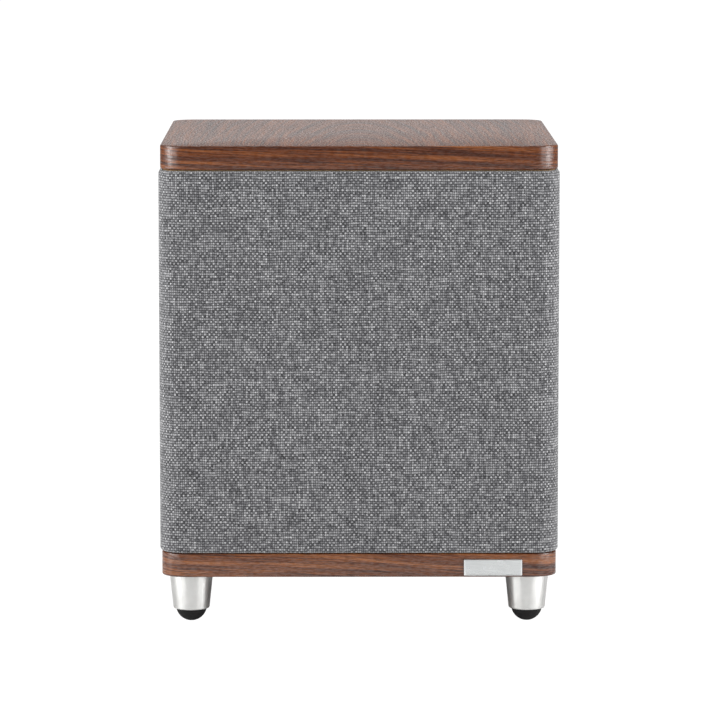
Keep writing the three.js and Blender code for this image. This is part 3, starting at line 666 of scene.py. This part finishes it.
def add_object(name, data):
    made = bpy.data.objects.new(name, data)
    scene.collection.objects.link(made)
    return made


def piece(name, shape, slot=None, replaces=(), body="cabinet", finish=None, sharp=35):
    """An object of a shape or mesh, riding on a body, in its slot's finish unless it has its own.

    Edges stay sharp where they turn by more than that many degrees.
    """
    mesh = shape.mesh(name, sharp) if isinstance(shape, Shape) else shape
    mesh.materials.append((finish or FINISHES[slot]).material)
    made = add_object(name, mesh)
    if body:
        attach(made, body)
    if replaces:
        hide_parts(*replaces)
    return made


def turned(profile, segments=64, closed=True):
    """A body of revolution about Z from [radius, height] pairs. Places run round it and along it."""
    shape = Shape()
    angles = around(segments)
    reached = running_round(list(profile))
    along = girth(max(radius for radius, _ in profile), segments)
    rings = [
        shape.level_ring(circle(radius, angles), z) if radius > 1e-6 else shape.ring([(0, 0, z)])
        for radius, z in profile
    ]
    pairs = list(zip(rings, rings[1:])) + ([(rings[-1], rings[0])] if closed else [])
    for step, (first, second) in enumerate(pairs):
        start, end = reached[step], reached[step + 1]
        if len(first) > 1 and len(second) > 1:
            shape.band(first, second, along, start, end)
        elif len(first) > 1 or len(second) > 1:
            ring, tip = (first, second[0]) if len(first) > 1 else (second, first[0])
            for i in range(segments):
                places = [(along[i], start), (along[i + 1], start), (along[i], end)]
                shape.face([ring[i], ring[(i + 1) % segments], tip], places)
    return shape


def turned_in_cabinet(section, segments=96, closed=True):
    """A body of revolution about the driver's axis, from a section in millimetres."""
    return turned(in_metres(section), segments, closed).move(shifted(0.0, CABINET_Y))


def rounded_plate(width, height, corner, profile, steps, least_corner=0.01 * MM):
    """A flat plate with rounded corners, from [inset, height] pairs along its edge."""
    shape = Shape()
    rings = []
    for inset, z in profile:
        radius = max(corner - inset, least_corner)
        points = rounded_ring(width - 2 * inset, height - 2 * inset, radius, steps)
        rings.append(shape.level_ring(points, z))
    along = running_round(rounded_ring(width, height, corner, steps))
    shape.skin(rings, along, running(profile))
    return shape


def slab(width, height, corner, thick, edge, steps=6):
    """A rounded plate with softened edges, from z = 0 to its thickness."""
    low_edge = [(edge, 0.0), (0.3 * edge, 0.3 * edge), (0.0, edge)]
    top_edge = [(inset, thick - z) for inset, z in reversed(low_edge)]
    return rounded_plate(width, height, corner, low_edge + top_edge, steps)


def shifted(x, y):
    """A placing that only moves level."""
    return lambda px, py, pz: (px + x, py + y, pz)


def from_behind(across, up, out=0.0):
    """A placing on the amplifier's outer face, seen from behind: x to the right, y up, z out."""
    return lambda px, py, pz: (-(px + across), AMP_FACE + pz + out, AMP_LEVEL + py + up)


def facing_down(x, y, level):
    """A placing on the underside of something, with z downwards."""
    return lambda px, py, pz: (x + px, y - py, level - pz)


def spot_on_amp(node):
    """How far to the right and up a node's middle is on the amplifier, seen from behind."""
    centre = middle(node)
    return -centre.x, centre.z - AMP_LEVEL


def parted(shape, name, groups):
    """Meshes of one shape's faces, by group, whose shading runs on from one to the next.

    groups maps each part's name to the numbers of its faces. Each part is closed where it was cut.
    """
    whole = bpy.data.meshes.new(name)
    whole.from_pydata(shape.points, [], shape.faces)
    edit(whole, face_outwards)
    normals = [tuple(vertex.normal) for vertex in whole.vertices]
    faces = [list(polygon.vertices) for polygon in whole.polygons]
    bpy.data.meshes.remove(whole)
    meshes = {}
    for part, chosen in groups.items():
        used = sorted({i for f in chosen for i in faces[f]})
        number = {old: new for new, old in enumerate(used)}
        mesh = bpy.data.meshes.new(part)
        mesh.from_pydata([shape.points[i] for i in used], [],
                         [[number[i] for i in faces[f]] for f in chosen])
        layer = mesh.uv_layers.new(name="surface")
        places = {f: dict(zip(shape.faces[f], shape.places[f])) for f in chosen}
        layer.data.foreach_set("uv", [value for f in chosen for i in faces[f] for value in places[f][i]])
        edit(mesh, fill_holes)
        mesh.shade_smooth()
        mesh.normals_split_custom_set_from_vertices([normals[i] for i in used])
        meshes[part] = mesh
    return meshes


# ---------- the walnut plates ----------
SIDE_FIGURE = 0.3  # sets the edge veneer's grain well away from the middle of the log


def plate(shape, node, capped):
    """A plate's outer edge, and its flat faces if capped. Gives its end rings and its outline."""
    bottom, top = low(node).z, high(node).z
    stops = [PLATE_HALF * part for part in (0.0, 0.2, 0.4, 0.6, 0.8)]
    profile = arc(PLATE_EDGE, bottom + PLATE_EDGE, PLATE_EDGE, 270, 180, 4)
    profile += arc(PLATE_EDGE, top - PLATE_EDGE, PLATE_EDGE, 180, 90, 4)
    rings = []
    for inset, z in profile:
        points = outline(PLATE_HALF - inset, PLATE_CORNER - inset, stops)
        rings.append(shape.level_ring(points, z, CABINET_Y))
    edge = outline(PLATE_HALF, PLATE_CORNER, stops)
    reached = [SIDE_FIGURE + value for value in running(profile)]
    shape.skin(rings, running_round(edge), reached, across_plate, capped)
    return rings[0], rings[-1], edge


def across_plate(point):
    """On a plate's flat faces the grain runs from front to back."""
    return point[1], point[0]


def make_lid():
    shape = Shape()
    plate(shape, "lid_panel", capped=True)
    piece("lid", shape, "walnut", ["lid_panel"])


def make_base():
    """The base plate, with the driver's round cut-out and the seat for its flange."""
    shape = Shape()
    bottom, top, edge = plate(shape, "base_panel", capped=False)
    bearings = [math.atan2(y, x) for x, y in edge]
    floor_level, top_level = low("base_panel").z, high("base_panel").z
    seat = floor_level + REBATE_DEPTH

    def round_ring(radius, z):
        return shape.level_ring(circle(radius, bearings), z, CABINET_Y)

    def flat_band(first, second):
        count = len(first)
        for i in range(count):
            j = (i + 1) % count
            shape.flat([first[i], first[j], second[j], second[i]], across_plate)

    rebate_low, rebate_high = round_ring(REBATE_RADIUS, floor_level), round_ring(REBATE_RADIUS, seat)
    hole_low, hole_high = round_ring(CUTOUT_RADIUS, seat), round_ring(CUTOUT_RADIUS, top_level)
    flat_band(bottom, rebate_low)
    flat_band(rebate_high, hole_low)
    flat_band(hole_high, top)
    along = girth(REBATE_RADIUS, len(bearings))
    shape.band(rebate_low, rebate_high, along, 0.0, REBATE_DEPTH)
    shape.band(hole_low, hole_high, along, 0.0, top_level - seat)
    piece("base", shape, "walnut", ["base_panel"], finish=BASE_WALNUT)


# ---------- the cloth sleeve ----------
def sleeve_section(bottom, top, stops):
    """The cloth's section as (distance in from its outer face, height) pairs.

    It runs from the lower turned-in edge up the outside, over the upper turned-in edge and down the
    inside, in two parts. Both parts have a point at each of the stops, which are heights.
    """
    tucked_in = CLOTH_ROLL + 0.6 * MM
    roll = [(tucked_in, bottom)] + arc(CLOTH_ROLL, bottom + CLOTH_ROLL, CLOTH_ROLL, 270, 180, 5)
    outside = roll + [(0.0, z) for z in stops]
    outside += [(inset, bottom + top - z) for inset, z in reversed(roll)]
    cut_end = [(tucked_in, 0.3 * MM), (CLOTH_THICK + 0.1 * MM, 1.9 * MM), (CLOTH_THICK, 3 * MM)]
    inside = [(inset, top - depth) for inset, depth in cut_end]
    inside += [(CLOTH_THICK, z) for z in reversed(stops)]
    inside += [(inset, bottom + depth) for inset, depth in reversed(cut_end)]
    return outside, inside


def make_sleeve():
    """One length of cloth stretched round the walls and turned in at both ends.

    It is made whole and then parted at the corners, so that each side is one piece of its own.
    """
    half = high("fabric_sleeve").x
    corner = PLATE_CORNER + half - high("lid_panel").x
    open_half, open_high = CLOTH_OPENING[0] / 2, CLOTH_OPENING[1] / 2
    open_levels = (AMP_LEVEL - open_high, AMP_LEVEL, AMP_LEVEL + open_high)
    outside, inside = sleeve_section(low("fabric_sleeve").z, high("fabric_sleeve").z, open_levels)

    shape = Shape()
    stops = [part * open_half for part in (0.0, 0.5, 1.0)]
    edge = outline(half, corner, stops)
    along = running_round(edge)
    count = len(edge)
    rings = []
    for inset, z in outside + inside:
        rings.append(shape.level_ring(outline(half - inset, corner - inset, stops), z, CABINET_Y))

    near = 0.001 * MM

    def beside_opening(i):
        x, y = edge[i % count]
        return y > half - near and abs(x) <= open_half + near

    opening = [i for i in range(count) if beside_opening(i) and beside_opening(i + 1)]
    jambs = [i for i in range(count) if beside_opening(i) and abs(edge[i][0]) > open_half - near]
    heights = [z for _, z in outside + inside]
    reached = running(outside)
    places = reached + heights[len(outside):]
    for i in range(len(rings)):
        j = (i + 1) % len(rings)
        lower, upper = sorted((heights[i], heights[j]))
        within = lower >= open_levels[0] - near and upper <= open_levels[-1] + near
        shape.band(rings[i], rings[j], along, places[i], places[j], skip=opening if within else ())

    # the cut edge round the opening: its upright sides, then its lower and upper sides
    levels = [(outside.index((0.0, z)), len(outside) + inside.index((CLOTH_THICK, z)))
              for z in open_levels]
    for (outer_low, inner_low), (outer_high, inner_high) in zip(levels, levels[1:]):
        for i in jambs:
            corners = [rings[step][i] for step in (outer_low, outer_high, inner_high, inner_low)]
            shape.face(corners, [(along[i], places[outer_low])] * 4)
    for outer, inner in (levels[0], levels[-1]):
        for i in opening:
            j = (i + 1) % count
            corners = [rings[outer][i], rings[outer][j], rings[inner][j], rings[inner][i]]
            shape.face(corners, [(along[i], places[outer]), (along[i + 1], places[outer])] * 2)

    # each face belongs to the side of the cabinet that it is nearest
    groups = {"sleeve_front": [], "sleeve_right": [], "sleeve_back": [], "sleeve_left": []}
    for number, corners in enumerate(shape.faces):
        centre = sum((Vector(shape.points[i]) for i in corners), Vector()) / len(corners)
        x, y = centre.x, centre.y - CABINET_Y
        if abs(y) >= abs(x):
            groups["sleeve_front" if y < 0 else "sleeve_back"].append(number)
        else:
            groups["sleeve_right" if x > 0 else "sleeve_left"].append(number)
    side_width = along[-1] / 4
    cut_height = reached[-1]
    for name, mesh in parted(shape, "sleeve", groups).items():
        side = piece(name, mesh, "cloth", ["fabric_sleeve"])
        area = side_width * cut_height
        if name == "sleeve_back":
            area -= CLOTH_OPENING[0] * CLOTH_OPENING[1]


# ---------- the badge and the feet ----------
def make_badge():
    """A blank brushed plate with a narrow raised rim."""
    lower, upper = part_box("badge")
    size, centre = upper - lower, (lower + upper) / 2
    thick = size.y
    rim, floor_depth, edge = 0.9 * MM, 0.3 * MM, 0.35 * MM
    section = [(edge, 0.0), (0.0, edge), (0.0, thick - edge), (0.3 * edge, thick - 0.3 * edge),
               (edge, thick), (rim - edge, thick), (rim, thick - floor_depth)]
    shape = rounded_plate(size.x, size.z, 0.7 * MM, section, 5, 0.15 * MM)
    shape.move(lambda x, y, z: (centre.x + x, upper.y - z, centre.z + y))
    piece("badge_plate", shape, "badge_metal", ["badge"], sharp=20)


def make_feet():
    """Tapered metal sleeves with rounded edges, on domed rubber pads. Sections in millimetres."""
    end, seat, top = low("foot_sleeve_front_left").z / MM, 30.0, 36.2
    bore, bolt_hole = 7.5, 4.3
    lower_radius, lower_round = 12.6, 1.3
    upper_radius, upper_round = 15.6, 0.8
    taper = -6  # the side's lean from upright, in degrees
    sleeve = [(bore, end), (lower_radius, end)]
    sleeve += arc(lower_radius, end + lower_round, lower_round, -90, taper, 6)
    sleeve += arc(upper_radius, top - upper_round, upper_round, taper, 90, 5)
    sleeve += [(bolt_hole, top), (bolt_hole, seat), (bore, seat)]

    dome, flat, rim = 11.9, 3.0, 11.35  # the pad is round below, but for the flat it stands on
    plug, plug_top, chamfer = 7.2, 22.4, 0.2
    centre = math.sqrt(dome**2 - flat**2)
    bounds = [-math.degrees(math.acos(radius / dome)) for radius in (flat, rim)]
    pad_top = end - 0.3
    pad = [(0.0, 0.0)] + arc(0.0, centre, dome, *bounds, 12)
    pad += [(rim, pad_top - chamfer), (rim - chamfer, pad_top)]
    pad += [(plug, pad_top), (plug, plug_top), (0.0, plug_top)]

    for corner in ("front_left", "front_right", "rear_left", "rear_right"):
        spot = middle(f"foot_sleeve_{corner}")
        for node, section, slot in (
            ("foot_sleeve", sleeve, "satin_aluminium"),
            ("foot_pad", pad, "rubber"),
        ):
            shape = turned(in_metres(section), closed=node == "foot_sleeve")
            shape.move(shifted(spot.x, spot.y))
            piece(f"{node}_turned_{corner}", shape, slot, [f"{node}_{corner}"])


# ---------- the driver ----------
def flexing_ring(name, section, slot, node):
    """A ring between the cabinet and the cone, made in sectors round its axis."""
    per_sector = 4
    segments = per_sector * SECTORS
    shape = turned_in_cabinet(section, segments)
    groups = {f"{name}_{i:02d}": [] for i in range(SECTORS)}
    for number in range(len(shape.faces)):
        step = number % segments
        groups[f"{name}_{step // per_sector:02d}"].append(number)
    for i, (part, mesh) in enumerate(parted(shape, name, groups).items()):
        made = piece(part, mesh, slot, [node], body=None)
        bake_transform(made)


def make_surround():
    """The rubber ring with one half-round roll. In millimetres."""
    low_face, high_face = 38.9, 39.9
    half_thick = (high_face - low_face) / 2
    outer_edge, inner_edge = 95.5, 70.0
    middle_radius, roll = ROLL_MIDDLE / MM, ROLL_RADIUS / MM
    section = [(outer_edge, low_face), (outer_edge, high_face)]
    section += arc(middle_radius, high_face, roll - half_thick, 0, -180, 14)
    section += [(inner_edge, high_face), (inner_edge, low_face)]
    section += arc(middle_radius, low_face, roll + half_thick, -180, 0, 14)
    flexing_ring("surround_bend", section, "rubber", "surround")


def make_spider():
    """The corrugated cloth ring that centres the coil. In millimetres."""
    level, height, thick = 83.7, 1.4, 0.8
    wave_start, wave_width, waves, steps = 24, 25, 3, 36
    wave = [
        (wave_start + wave_width * i / steps, level + height * math.sin(2 * math.pi * waves * i / steps))
        for i in range(steps + 1)
    ]
    top = [(19.1, level), (21.5, level)] + wave + [(52.0, level), (58.0, level)]
    section = top + [(radius, z - thick) for radius, z in reversed(top)]
    flexing_ring("spider_bend", section, "spider_cloth", "spider")


def make_cone():
    """The flared paper cone. In millimetres."""
    rim_radius, rim_level = 70.9, 41.6
    neck_radius, neck_level = 20.3, 76.4
    bulge, steps = 1.6, 14
    flare = []
    for i in range(steps + 1):
        share = i / steps
        radius = rim_radius + (neck_radius - rim_radius) * share
        z = rim_level + (neck_level - rim_level) * share + bulge * math.sin(math.pi * share)
        flare.append((radius, z))
    back = [(74.3, 40.2), (74.3, 41.4)] + flare + [(19.1, neck_level), (19.1, neck_level - 2)]
    face = [(radius - 1.2, z - 1.3) for radius, z in reversed(flare[1:])] + [(69.4, 40.2)]
    piece("paper_cone", turned_in_cabinet(back + face), "paper", ["cone"], "cone_assembly")


def make_dust_cap():
    """The paper dome over the coil. In millimetres."""
    radius, rise, thick, edge_level = 31.5, 11.0, 1.2, 65.4
    sphere = (radius**2 + rise**2) / (2 * rise)
    centre = edge_level + sphere - rise
    edge = math.degrees(math.asin(radius / sphere))
    section = arc(0, centre, sphere, -90, -90 + edge, 12)
    section += arc(0, centre, sphere - thick, -90 + edge, -90, 12)
    shape = turned_in_cabinet(section, 64, closed=False)
    piece("domed_cap", shape, "paper", ["dust_cap"], "cone_assembly")


def make_trim():
    """The rubber ring that covers the surround's edge, with rounded lower edges. In millimetres."""
    section = [(89.6, 37.9), (89.75, 37.45), (90.1, 37.12), (90.6, 37.0), (95.0, 37.0),
               (95.5, 37.12), (95.85, 37.45), (96.0, 37.9), (96.0, 38.6), (89.6, 38.6)]
    piece("trim_ring_turned", turned_in_cabinet(section), "rubber", ["trim_ring"])


def make_screw(name, place, head, rise, socket, depth):
    """A button-head screw with a six-sided socket. head and socket are half widths."""
    shape = Shape()
    angles = around(24)
    dome = [(1.0, 0.0), (1.0, 0.25), (0.9, 0.6), (0.7, 0.88), (0.55, 1.0)]
    rings = [shape.level_ring(circle(wide * head, angles), up * rise) for wide, up in dome]
    hexagon = []
    for angle in angles:
        from_flat = (angle + math.pi / 6) % (math.pi / 3) - math.pi / 6
        hexagon += circle(socket / math.cos(from_flat), [angle])
    rings += [shape.level_ring(hexagon, z) for z in (rise, rise - depth)]
    shape.skin(rings, girth(head, len(angles)), [step * MM for step in range(len(rings))])
    piece(name, shape.move(place), "steel")


def make_driver_screws():
    count = 8
    for i in range(count):
        [(x, y)] = circle(SCREW_CIRCLE, [2 * math.pi * (i + 0.5) / count])
        place = facing_down(x, y + CABINET_Y, low("basket").z)
        make_screw(f"driver_screw_{i}", place, 3.3 * MM, 1.4 * MM, 1.5 * MM, 0.9 * MM)


def tube(line, radius, sides=8):
    """A round wire along the line, closed at both ends."""
    shape = Shape()
    rings = []
    side = Vector((0, 0, 1))
    for i, here in enumerate(line):
        ahead = (line[min(i + 1, len(line) - 1)] - line[max(i - 1, 0)]).normalized()
        side = (side - ahead * side.dot(ahead)).normalized()
        other = ahead.cross(side)
        rings.append(shape.ring([
            tuple(here + radius * (math.cos(a) * side + math.sin(a) * other)) for a in around(sides)
        ]))
    shape.skin(rings, girth(radius, sides), running([tuple(point) for point in line]))
    return shape


def make_flexible_leads():
    """Two braided leads from the terminals to the cone's neck."""
    terminal = middle("terminal_strip")
    steps = 20
    sag = Vector((0, 0, 7 * MM))
    for name, side in (("flexible_lead_a", -1), ("flexible_lead_b", 1)):
        x = side * 5 * MM
        start = Vector((x, low("terminal_strip").y - 0.2 * MM, terminal.z))
        end = Vector((x, CABINET_Y + 27 * MM, 73.5 * MM))
        line = []
        for i in range(steps + 1):
            share = i / steps
            line.append(start.lerp(end, share) + sag * math.sin(math.pi * share))
        lead = piece(name, tube(line, 0.9 * MM), "copper", body=None, sharp=60)
        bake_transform(lead)


# ---------- the wadding ----------
def apply_modifiers(obj):
    """Bakes an object's modifiers into its mesh."""
    bpy.context.view_layer.update()
    depsgraph = bpy.context.evaluated_depsgraph_get()
    mesh = bpy.data.meshes.new_from_object(obj.evaluated_get(depsgraph))
    obj.modifiers.clear()
    obj.data = mesh


def puff(obj, pressure, frames):
    """Swells a closed mesh from within, without gravity, and keeps the result."""
    cloth = obj.modifiers.new("Cloth", "CLOTH")
    settings = cloth.settings
    settings.use_pressure = True
    settings.uniform_pressure_force = pressure
    settings.quality = 5
    settings.effector_weights.gravity = 0.0
    for number in range(1, frames + 1):
        scene.frame_set(number)
    apply_modifiers(obj)
    scene.frame_set(1)


def points_of(obj):
    return np.array([vertex.co for vertex in obj.data.vertices])


def make_wadding():
    """A lofty pad stapled to the inside of the front wall, puffed by a short cloth simulation."""
    inset, voxel = 4 * MM, 6 * MM
    most_puff, least_gap = 5 * MM, 0.3 * MM
    lower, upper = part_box("wadding_pad")
    size, centre = upper - lower, (lower + upper) / 2
    mesh = bpy.data.meshes.new("wadding_puffed")
    edit(mesh, lambda made: bmesh.ops.create_cube(made, size=1.0))
    for vertex in mesh.vertices:
        vertex.co = [part * (length - 2 * inset) for part, length in zip(vertex.co, size)]
    pad = add_object("wadding_puffed", mesh)
    remesh = pad.modifiers.new("Remesh", "REMESH")
    remesh.mode = "VOXEL"
    remesh.voxel_size = voxel
    apply_modifiers(pad)
    rest = points_of(pad)
    puff(pad, pressure=3.0, frames=14)
    # no point goes far, or out of the CAD pad's box
    step = points_of(pad) - rest
    length = np.linalg.norm(step, axis=1, keepdims=True)
    found = rest + step * np.minimum(1.0, most_puff / np.maximum(length, 1e-9))
    limit = np.array(size) / 2 - least_gap
    found = np.clip(found, -limit, limit)
    pad.data.vertices.foreach_set("co", found.astype(np.float32).ravel())
    smooth = pad.modifiers.new("Subdivision", "SUBSURF")
    smooth.levels = smooth.render_levels = 1
    apply_modifiers(pad)
    pad.data.transform(Matrix.Translation(centre))
    pad.data.shade_smooth()
    pad.data.materials.clear()
    pad.data.materials.append(FINISHES["wadding"].material)
    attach(pad, "cabinet")
    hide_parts("wadding_pad")


# ---------- the amplifier's outside ----------
def fluted(radius, depth, z):
    """A level ring whose flutes are cut in by the depth."""
    flutes, per_flute = 24, 6
    points = []
    for a in around(flutes * per_flute):
        reach = radius - depth * (0.5 - 0.5 * math.cos(flutes * a))
        points.append((reach * math.cos(a), reach * math.sin(a), z))
    return points


def make_knobs():
    """Fluted knobs with a bevelled crown and a white pointer line."""
    skirt, bore, flute = KNOB_RADIUS / MM, 5.6, 0.55
    for name in ("volume", "crossover"):
        node, body = f"{name}_knob", f"{name}_control"
        across, up = spot_on_amp(node)
        back, front = [(level - AMP_FACE) / MM for level in (low(node).y, high(node).y)]
        # radius, depth of the flutes and height, in millimetres
        section = [
            (bore, 0.0, back + 2.0), (bore, 0.0, back), (skirt - 0.3, 0.0, back),
            (skirt, 0.0, back + 0.3), (skirt, 0.0, back + 1.2), (skirt - 0.4, flute, back + 1.7),
            (skirt - 0.8, flute, front - 1.4), (skirt - 1.3, 0.4 * flute, front - 0.5),
            (skirt - 2.2, 0.0, front - 0.05), (skirt - 2.6, 0.0, front),
            (skirt - 3.2, 0.0, front - 0.3),
        ]
        shape = Shape()
        rings = [shape.ring(fluted(*[part * MM for part in step])) for step in section]
        reached = running(in_metres([(radius, z) for radius, _, z in section]))
        shape.skin(rings, girth(KNOB_RADIUS, len(rings[0])), reached)
        shape.move(from_behind(across, up))
        piece(f"{name}_knob_fluted", shape, "black_plastic", [node], body, sharp=40)
        line = slab(1.1 * MM, 5.5 * MM, 0.3 * MM, 0.25 * MM, 0.08 * MM)
        line.move(from_behind(across, up + 4.4 * MM, (front - 0.35) * MM))
        piece(f"{name}_pointer", line, body=body, finish=WHITE_PRINT)


def print_mark(name, width, height, across, up, turn):
    """A thin printed mark on the amplifier's plate."""
    cos, sin = math.cos(turn), math.sin(turn)
    mark = slab(width, height, min(width, height) / 2.2, 0.06 * MM, 0.02 * MM, 3)
    mark.move(lambda x, y, z: (x * cos - y * sin, x * sin + y * cos, z))
    mark.move(from_behind(across, up, 0.01 * MM))
    piece(name, mark, finish=WHITE_PRINT)


def make_dials():
    """Plain scale marks round both knobs, as on any dial."""
    for name in ("volume", "crossover"):
        across, up = spot_on_amp(f"{name}_knob")
        for i in range(11):
            turn = math.radians(-150 + 30 * i)
            length = (3.0 if i in (0, 5, 10) else 1.8) * MM
            reach = DIAL_RADIUS + length / 2
            print_mark(f"{name}_mark_{i:02d}", 0.5 * MM, length,
                       across - reach * math.sin(turn), up + reach * math.cos(turn), turn)


def make_plate_screws():
    size = high("amp_plate") - low("amp_plate")
    x, y = size.x / 2 - PLATE_SCREW_INSET, size.z / 2 - PLATE_SCREW_INSET
    spots = [(side * x, level) for side in (-1, 1) for level in (-y, -y / 3, y / 3, y)]
    spots += [(0.0, -y), (0.0, y)]
    for i, spot in enumerate(spots):
        make_screw(f"plate_screw_{i}", from_behind(*spot), 2.9 * MM, 1.2 * MM, 1.2 * MM, 0.8 * MM)


def make_jack_collars():
    """A coloured collar round each input jack. The section is in millimetres."""
    section = [(4.35, 1.45), (5.5, 1.45), (5.6, 1.7), (5.6, 2.5), (5.3, 2.8), (4.35, 2.8)]
    for node, finish in COLLARS.items():
        across, _ = spot_on_amp(node)
        shape = turned(in_metres(section), 48).move(from_behind(across, JACK_UP))
        piece(f"{node}_collar", shape, finish=finish)


def make_inlet_pins():
    """Bright caps over the three pins in the mains socket."""
    across, up = spot_on_amp("mains_inlet")
    socket_up = 5.5 * MM  # the socket's middle above the inlet's middle
    for i, (dx, dy) in enumerate(((-7, -2), (7, -2), (0, 2))):
        pin = slab(2.3 * MM, 4.3 * MM, 0.4 * MM, 10.4 * MM, 0.3 * MM)
        pin.move(from_behind(across + dx * MM, up + socket_up + dy * MM, -13.2 * MM))
        piece(f"inlet_pin_{i}", pin, "steel")


make_lid()
make_base()
make_sleeve()
make_badge()
make_feet()
make_surround()
make_spider()
make_cone()
make_dust_cap()
make_trim()
make_driver_screws()
make_flexible_leads()
make_wadding()
make_knobs()
make_dials()
make_plate_screws()
make_jack_collars()
make_inlet_pins()


# ---------- the studio ----------
SEEN_WHITE = 1.1  # strength of the white that the camera sees
SHADOWLESS = 0.93  # how much of the floor the camera sees as plain white
FILL = 0.35  # strength of the room's light on everything else
FLOOR_REACH = 60.0
LENS = 219.9
CAMERA_PLACE = (-0.016, -3.449, 0.604)
CAMERA_TARGET = (0.0006, -0.157, 0.2024)
LIGHT_TARGET = (0, 0, 0.2)
# the lights that stand on both sides: place of the right one, width, height and power
SIDE_LIGHTS = {
    "softbox": ((1.46, -0.68, 0.7), 2.1, 1.6, 27),
    "strip": ((1.3, -0.52, 0.6), 0.5, 1.0, 9),
}


def make_floor():
    """A matt white floor that the camera sees as nearly shadowless."""
    mesh = bpy.data.meshes.new("floor")
    corners = [(x * FLOOR_REACH, y * FLOOR_REACH, 0) for x, y in ((-1, -1), (1, -1), (1, 1), (-1, 1))]
    mesh.from_pydata(corners, [], [(0, 1, 2, 3)])
    floor = add_object("floor", mesh)
    f = Finish("floor_white", roughness=0.9)
    f.set("Base Color", grey(238))
    f.set("Specular IOR Level", 0.0)
    seen = f.node("LightPath").outputs["Is Camera Ray"]
    glow = f.node("Emission", {"Color": grey(255), "Strength": SEEN_WHITE}).outputs[0]
    share = f.times(seen, SHADOWLESS)
    mixed = f.node("MixShader", {0: share, 1: f.shader.outputs[0], 2: glow}).outputs[0]
    f.join(mixed, f.tree.nodes["Material Output"].inputs["Surface"])
    mesh.materials.append(f.material)


def make_world():
    """A white room to the camera, and soft grey fill to everything else."""
    world = bpy.data.worlds.new("studio")
    scene.world = world
    world.use_nodes = True
    tree = world.node_tree
    background = tree.nodes["Background"]
    background.inputs["Color"].default_value = (1, 1, 1, 1)
    path = tree.nodes.new("ShaderNodeLightPath")
    strength = tree.nodes.new("ShaderNodeMapRange")
    strength.inputs["To Min"].default_value = FILL
    strength.inputs["To Max"].default_value = SEEN_WHITE
    tree.links.new(path.outputs["Is Camera Ray"], strength.inputs["Value"])
    tree.links.new(strength.outputs[0], background.inputs["Strength"])


def make_softbox(name, place, width, height, power, target=LIGHT_TARGET):
    """A lit rectangle turned to the target, which the camera doesn't see."""
    light = bpy.data.lights.new(name, "AREA")
    light.shape = "RECTANGLE"
    light.size, light.size_y = width, height
    light.energy = power
    made = add_object(name, light)
    made.location = place
    made.rotation_euler = (Vector(target) - Vector(place)).to_track_quat("-Z", "Y").to_euler()
    made.visible_camera = False


def make_camera():
    """A long lens from just above the lid, square to the front."""
    camera = bpy.data.cameras.new("camera")
    camera.sensor_width = 36
    camera.lens = LENS
    camera.clip_end = 200
    made = add_object("camera", camera)
    made.location = CAMERA_PLACE
    ahead = Vector(CAMERA_TARGET) - made.location
    made.rotation_euler = ahead.to_track_quat("-Z", "Y").to_euler()
    scene.camera = made


make_floor()
make_world()
for kind, ((x, y, z), width, height, power) in SIDE_LIGHTS.items():
    for side, sign in (("left", -1), ("right", 1)):
        make_softbox(f"{side}_{kind}", (sign * x, y, z), width, height, power)
make_softbox("top_softbox", (0, 0.0, 2.2), 1.6, 1.6, 18)
make_softbox("rear_softbox", (0, 3.0, 0.9), 2.4, 0.9, 6.5, target=(0, 0, 0.36))
make_camera()
scene.view_settings.view_transform = "Standard"
